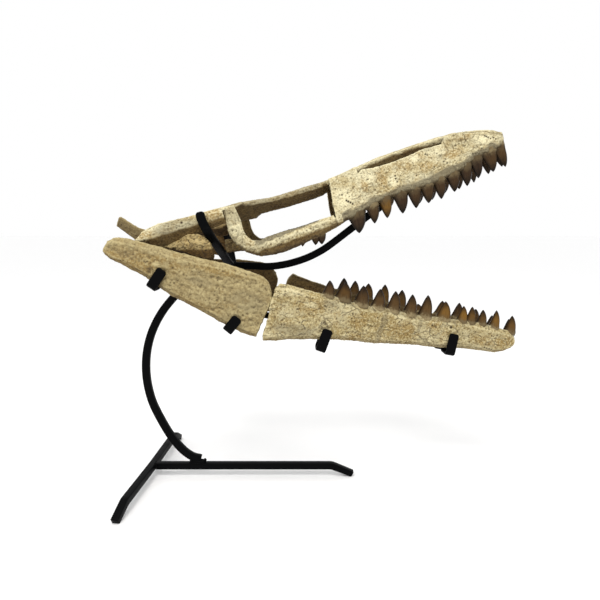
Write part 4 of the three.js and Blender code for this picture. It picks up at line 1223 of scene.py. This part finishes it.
def rounded(radius, step):
    """How far a rounded end of that radius falls back at that step from the very end."""
    return radius - math.sqrt(max(radius ** 2 - max(radius - step, 0) ** 2, 0))


def bar(name, path, depth, width, across, matrix=FLOOR_PLAN, corner=1.6, blunt=1.6):
    """A bar swept along a path of millimetres; width lies along the across direction."""
    reach, heading = run_of(path)
    ends = [blunt * (1 - math.cos(turn)) for turn in np.linspace(0.25, math.pi / 2, 6)]
    rings = [(path[0] + heading[0] * s, heading[0], s) for s in ends]
    rings += [(p, h, blunt) for p, h, s in zip(path, heading, reach) if blunt < s < reach[-1] - blunt]
    rings += [(path[-1] - heading[-1] * s, heading[-1], s) for s in reversed(ends)]
    points = []
    for here, ahead, step in rings:
        wide = (across - ahead * across.dot(ahead)).normalized()
        deep = ahead.cross(wide)
        thin = rounded(corner, step)
        ring = profile(depth - 2 * thin, width - 2 * rounded(blunt, step), max(corner - thin, 0.3))
        points.extend(here + wide * a + deep * b for a, b in ring)
    sides = len(points) // len(rings)
    faces = walls(0, len(rings), sides)
    faces.append(tuple(reversed(range(sides))))
    faces.append(tuple(range(len(points) - sides, len(points))))
    table = moved(matrix, [tuple(p) for p in points])
    table[:, 2] = np.maximum(table[:, 2], 0)
    return black_piece(name, table, faces)


print("bars can be bent")

# %% [markdown]
# ## Feet, post and palate rest
#
# The crossbar and the long bar make a T on the floor, with their ends bent down to stand on. The
# curved post rises behind the jaws and turns forward under the skull, where the palate rest
# carries on from it. The post's curve is nearly a circle, so its points are given as angles and
# radii about one middle. The other bars follow points in millimetres, with Z up from the floor.

# %% Feet, post and palate rest
ACROSS = Vector((0, 1, 0))
FORWARD = Vector((1, 0, 0))
FOOT = 4        # height of a foot's end
RAISED = 26     # height of the bars between the feet

CROSSBAR = [
    (-379, -204, FOOT), (-372, -164, RAISED), (-359.5, 0, RAISED), (-351, 180, RAISED), (-348, 214, FOOT)]
crossbar = bar("crossbar", rounded_bends(CROSSBAR, 26), depth=16, width=17, across=Vector((1, -0.08, 0)))
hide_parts("stand_crossbar")

LONG_BAR = [(-352, 0, RAISED), (78, 0, RAISED), (128, 0, FOOT)]
long_bar = bar("long_bar", rounded_bends(LONG_BAR, 30), depth=16, width=15, across=ACROSS)
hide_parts("stand_long_bar")

POST_MIDDLE = (-107, 271)                  # x and z of the middle of its curve
POST_TOP, POST_BOTTOM = 101, 200.6         # degrees about that middle
POST_RADIUS = line((101, 249), (140, 252), (165, 256.5), (200.6, 260))
POST_FOOT = [(-330.5, 0, 135.5), (-310, 0, 99), (-286, 0, 68), (-263, 0, 50), (-241, 0, 43.5)]
arc = []
for angle in np.linspace(POST_TOP, POST_BOTTOM, 14):
    turn = math.radians(angle)
    radius = float(POST_RADIUS(angle))
    arc.append((POST_MIDDLE[0] + radius * math.cos(turn), 0, POST_MIDDLE[1] + radius * math.sin(turn)))
post = bar("curved_post", through(arc + POST_FOOT), depth=18, width=12, across=ACROSS)
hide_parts("stand_post")

REST = [(-152, 514.9), (-110, 513.5), (-69, 512.5), (-30, 518), (5, 528), (33, 540), (62, 557),
        (107, 591), (150, 624), (177, 643.5), (203, 662)]
palate_rest = bar("palate_rest", through([(x, 0, z) for x, z in REST]), depth=16.2, width=10, across=ACROSS)
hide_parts("stand_palate_rest")
print("feet, post and palate rest:", len(post.data.polygons), "faces on the post")

# %% [markdown]
# ## Yoke, rails and tie
#
# Two flat arms leave the head of the post and rise beside the cheeks. Below, two square rails
# run inside the lower jaws, and a tie under the post carries them. The left bars mirror the
# right ones, so one table serves both sides.

# %% Yoke, rails and tie
CHEEK_FACE = 116
BESIDE = CHEEK_FACE + 0.8 + 5    # a gap further out, and half the arm
ARM = [
    (-157, 6.4, 515), (-157, 14, 515), (-161, 34, 526), (-168, 62, 545), (-174.5, 90, 563),
    (-181, 108, 577), (-188, BESIDE, 592), (-193.5, BESIDE, 603), (-200, BESIDE, 617),
    (-204, BESIDE, 633)]
RAIL = [(128, -32), (186, -66), (343, -66), (782, -66)]
RAIL_PLAN = line((128, 127), (186, 125), (343, 119.5), (782, 14))
RAIL_SIZE = 12
for word, side in SIDES.items():
    route = through([(x, side * y, z) for x, y, z in ARM])
    arm = bar(f"yoke_arm_{word}", route, depth=10, width=18.5, across=FORWARD, corner=3, blunt=7)
    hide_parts(f"stand_arm_{word}")
    path = rounded_bends([(u, side * float(RAIL_PLAN(u)), w) for u, w in RAIL], 30)
    rail = bar(f"jaw_rail_{word}", path, RAIL_SIZE, RAIL_SIZE, ACROSS, LOWER_JAW)
    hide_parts(f"stand_rail_{word}")

TIE_ANGLE = math.radians(127.5)    # where it lies on the post's curve
low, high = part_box("stand_tie")
middle = (low + high) / 2 / MM - PLAN_MIDDLE
half = (high.y - low.y) / MM / 2
tangent = Vector((math.sin(TIE_ANGLE), 0, -math.cos(TIE_ANGLE)))
tie = bar("rail_tie", [middle - ACROSS * half, middle + ACROSS * half], RAIL_SIZE, RAIL_SIZE, tangent)
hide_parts("stand_tie")
print("yoke, rails and tie")

# %% [markdown]
# ## Clips
#
# Eight strips of flat bar hook under the lower jaws and up their outer faces. Each is a bar like
# the others, only thin, wide and folded tightly. The left ones follow jaws that have slipped in
# them, so each has a path of its own: u, the distance from the middle plane, and w.

# %% Clips
CLIPS = {
    "right": [
        [(122.8, 130.5, -41), (118, 130.5, -52.5), (118, 166.6, -52.5), (135, 166.6, -12)],
        [(300.3, 124.9, -72.4), (283, 124.9, -106.5), (283, 162.3, -106.5), (299, 162.3, -75)],
        [(484.2, 89.6, -72.4), (479, 89.6, -114), (479, 127.4, -114), (485, 127.4, -66)],
        [(771, 18.1, -75.9), (771, 58.1, -75.9), (769, 58.1, -28)],
    ],
    "left": [
        [(134.7, 130.4, -48), (126.2, 130.4, -92.3), (126.2, 166.6, -92.3), (134.4, 166.6, -49.2)],
        [(309.1, 125.2, -72.4), (298.8, 125.2, -110.8), (298.8, 162.3, -110.8), (307.9, 162.3, -76.7)],
        [(484.8, 89.5, -72.4), (479, 89.5, -119), (479, 127.4, -119), (485, 127.4, -71)],
        [(770.6, 21.1, -72.4), (771, 21.1, -80.9), (771, 58.1, -80.9), (769, 58.1, -33)],
    ],
}
for word, side in SIDES.items():
    for number, route in enumerate(CLIPS[word], 1):
        path = rounded_bends([(u, side * y, w) for u, y, w in route], 7)
        rising = path[-1] - path[-2]
        flat = Vector((rising.z, 0, -rising.x)).normalized()
        strap = bar(f"clip_{word}_{number}", path, 6, 21.5, flat, LOWER_JAW, corner=2.6, blunt=6)
        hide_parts(f"stand_clip_{word}_{number}")
print(sum(len(routes) for routes in CLIPS.values()), "clips")

# %% [markdown]
# ## Weld beads
#
# The bars are held together by short runs of weld, blacked over with the rest. A run of weld is
# a row of small overlapping drops, so each bead here is a rope whose thickness swells and
# shrinks along a path.

# %% Weld beads
BEAD = 2.4    # radius of a small bead in mm


def weld(name, runs, matrix=FLOOR_PLAN, sides=10, drop=3.4):
    """One object with a rope of weld along each run: a list of points, and a radius, in mm."""
    points, faces = [], []
    for number, (route, radius) in enumerate(runs):
        path = through(route, 10)
        reaches, headings = run_of(path)
        first = len(points)
        for here, reach, ahead in zip(path, reaches, headings):
            wide = ahead.orthogonal().normalized()
            deep = ahead.cross(wide)
            end = min(reach, reaches[-1] - reach) / radius
            size = radius * (0.85 + 0.15 * math.cos(2 * math.pi * (reach / drop + number * 0.3)))
            size *= math.sqrt(max(1 - max(1 - end, 0) ** 2, 0.02))
            for k in range(sides):
                turn = 2 * math.pi * k / sides
                points.append(here + (wide * math.cos(turn) + deep * math.sin(turn)) * size)
        faces.extend(walls(first, len(path), sides))
        faces.append(tuple(first + k for k in reversed(range(sides))))
        faces.append(tuple(range(len(points) - sides, len(points))))
    return black_piece(name, moved(matrix, [tuple(p) for p in points]), faces)


def both_sides(route):
    return [[(x, side * y, z) for x, y, z in route] for side in SIDES.values()]


FOOT_SEAM = [(-271, 4, 34), (-256, 5, 36), (-242, 5, 37), (-230, 4, 36)]
FOOT_WELD = [(route, 4.0) for route in both_sides(FOOT_SEAM)]
FOOT_WELD += [([(-262, 0, 38), (-246, 0, 38), (-229, 0, 36)], 4.6),
              ([(-234, -6, 38), (-231, 0, 40), (-234, 6, 38)], 3.6)]
JOINT_WELD = [(route, 3.0) for route in both_sides([(-351, 8, 20), (-350, 8, 26), (-351, 8, 33)])]
JOINT_WELD.append(([(-353, -8, 33), (-353, 0, 33.5), (-352, 8, 33)], 2.2))
YOKE_WELD = []
for x in (-166, -148):
    YOKE_WELD += [(route, BEAD) for route in both_sides([(x, 7, 510), (x, 7.6, 515), (x, 7, 520)])]
stand_runs = FOOT_WELD + JOINT_WELD + YOKE_WELD
weld("stand_welds", stand_runs)

rail_runs = []
for word, side in SIDES.items():
    for u, y, w in (route[0] for route in CLIPS[word]):
        seam = [(u - 7, side * (y - 1), w + 2), (u, side * y, w + 2), (u + 7, side * (y - 1), w + 2)]
        rail_runs.append((seam, BEAD))
weld("rail_welds", rail_runs, LOWER_JAW)
print(len(stand_runs) + len(rail_runs), "runs of weld")
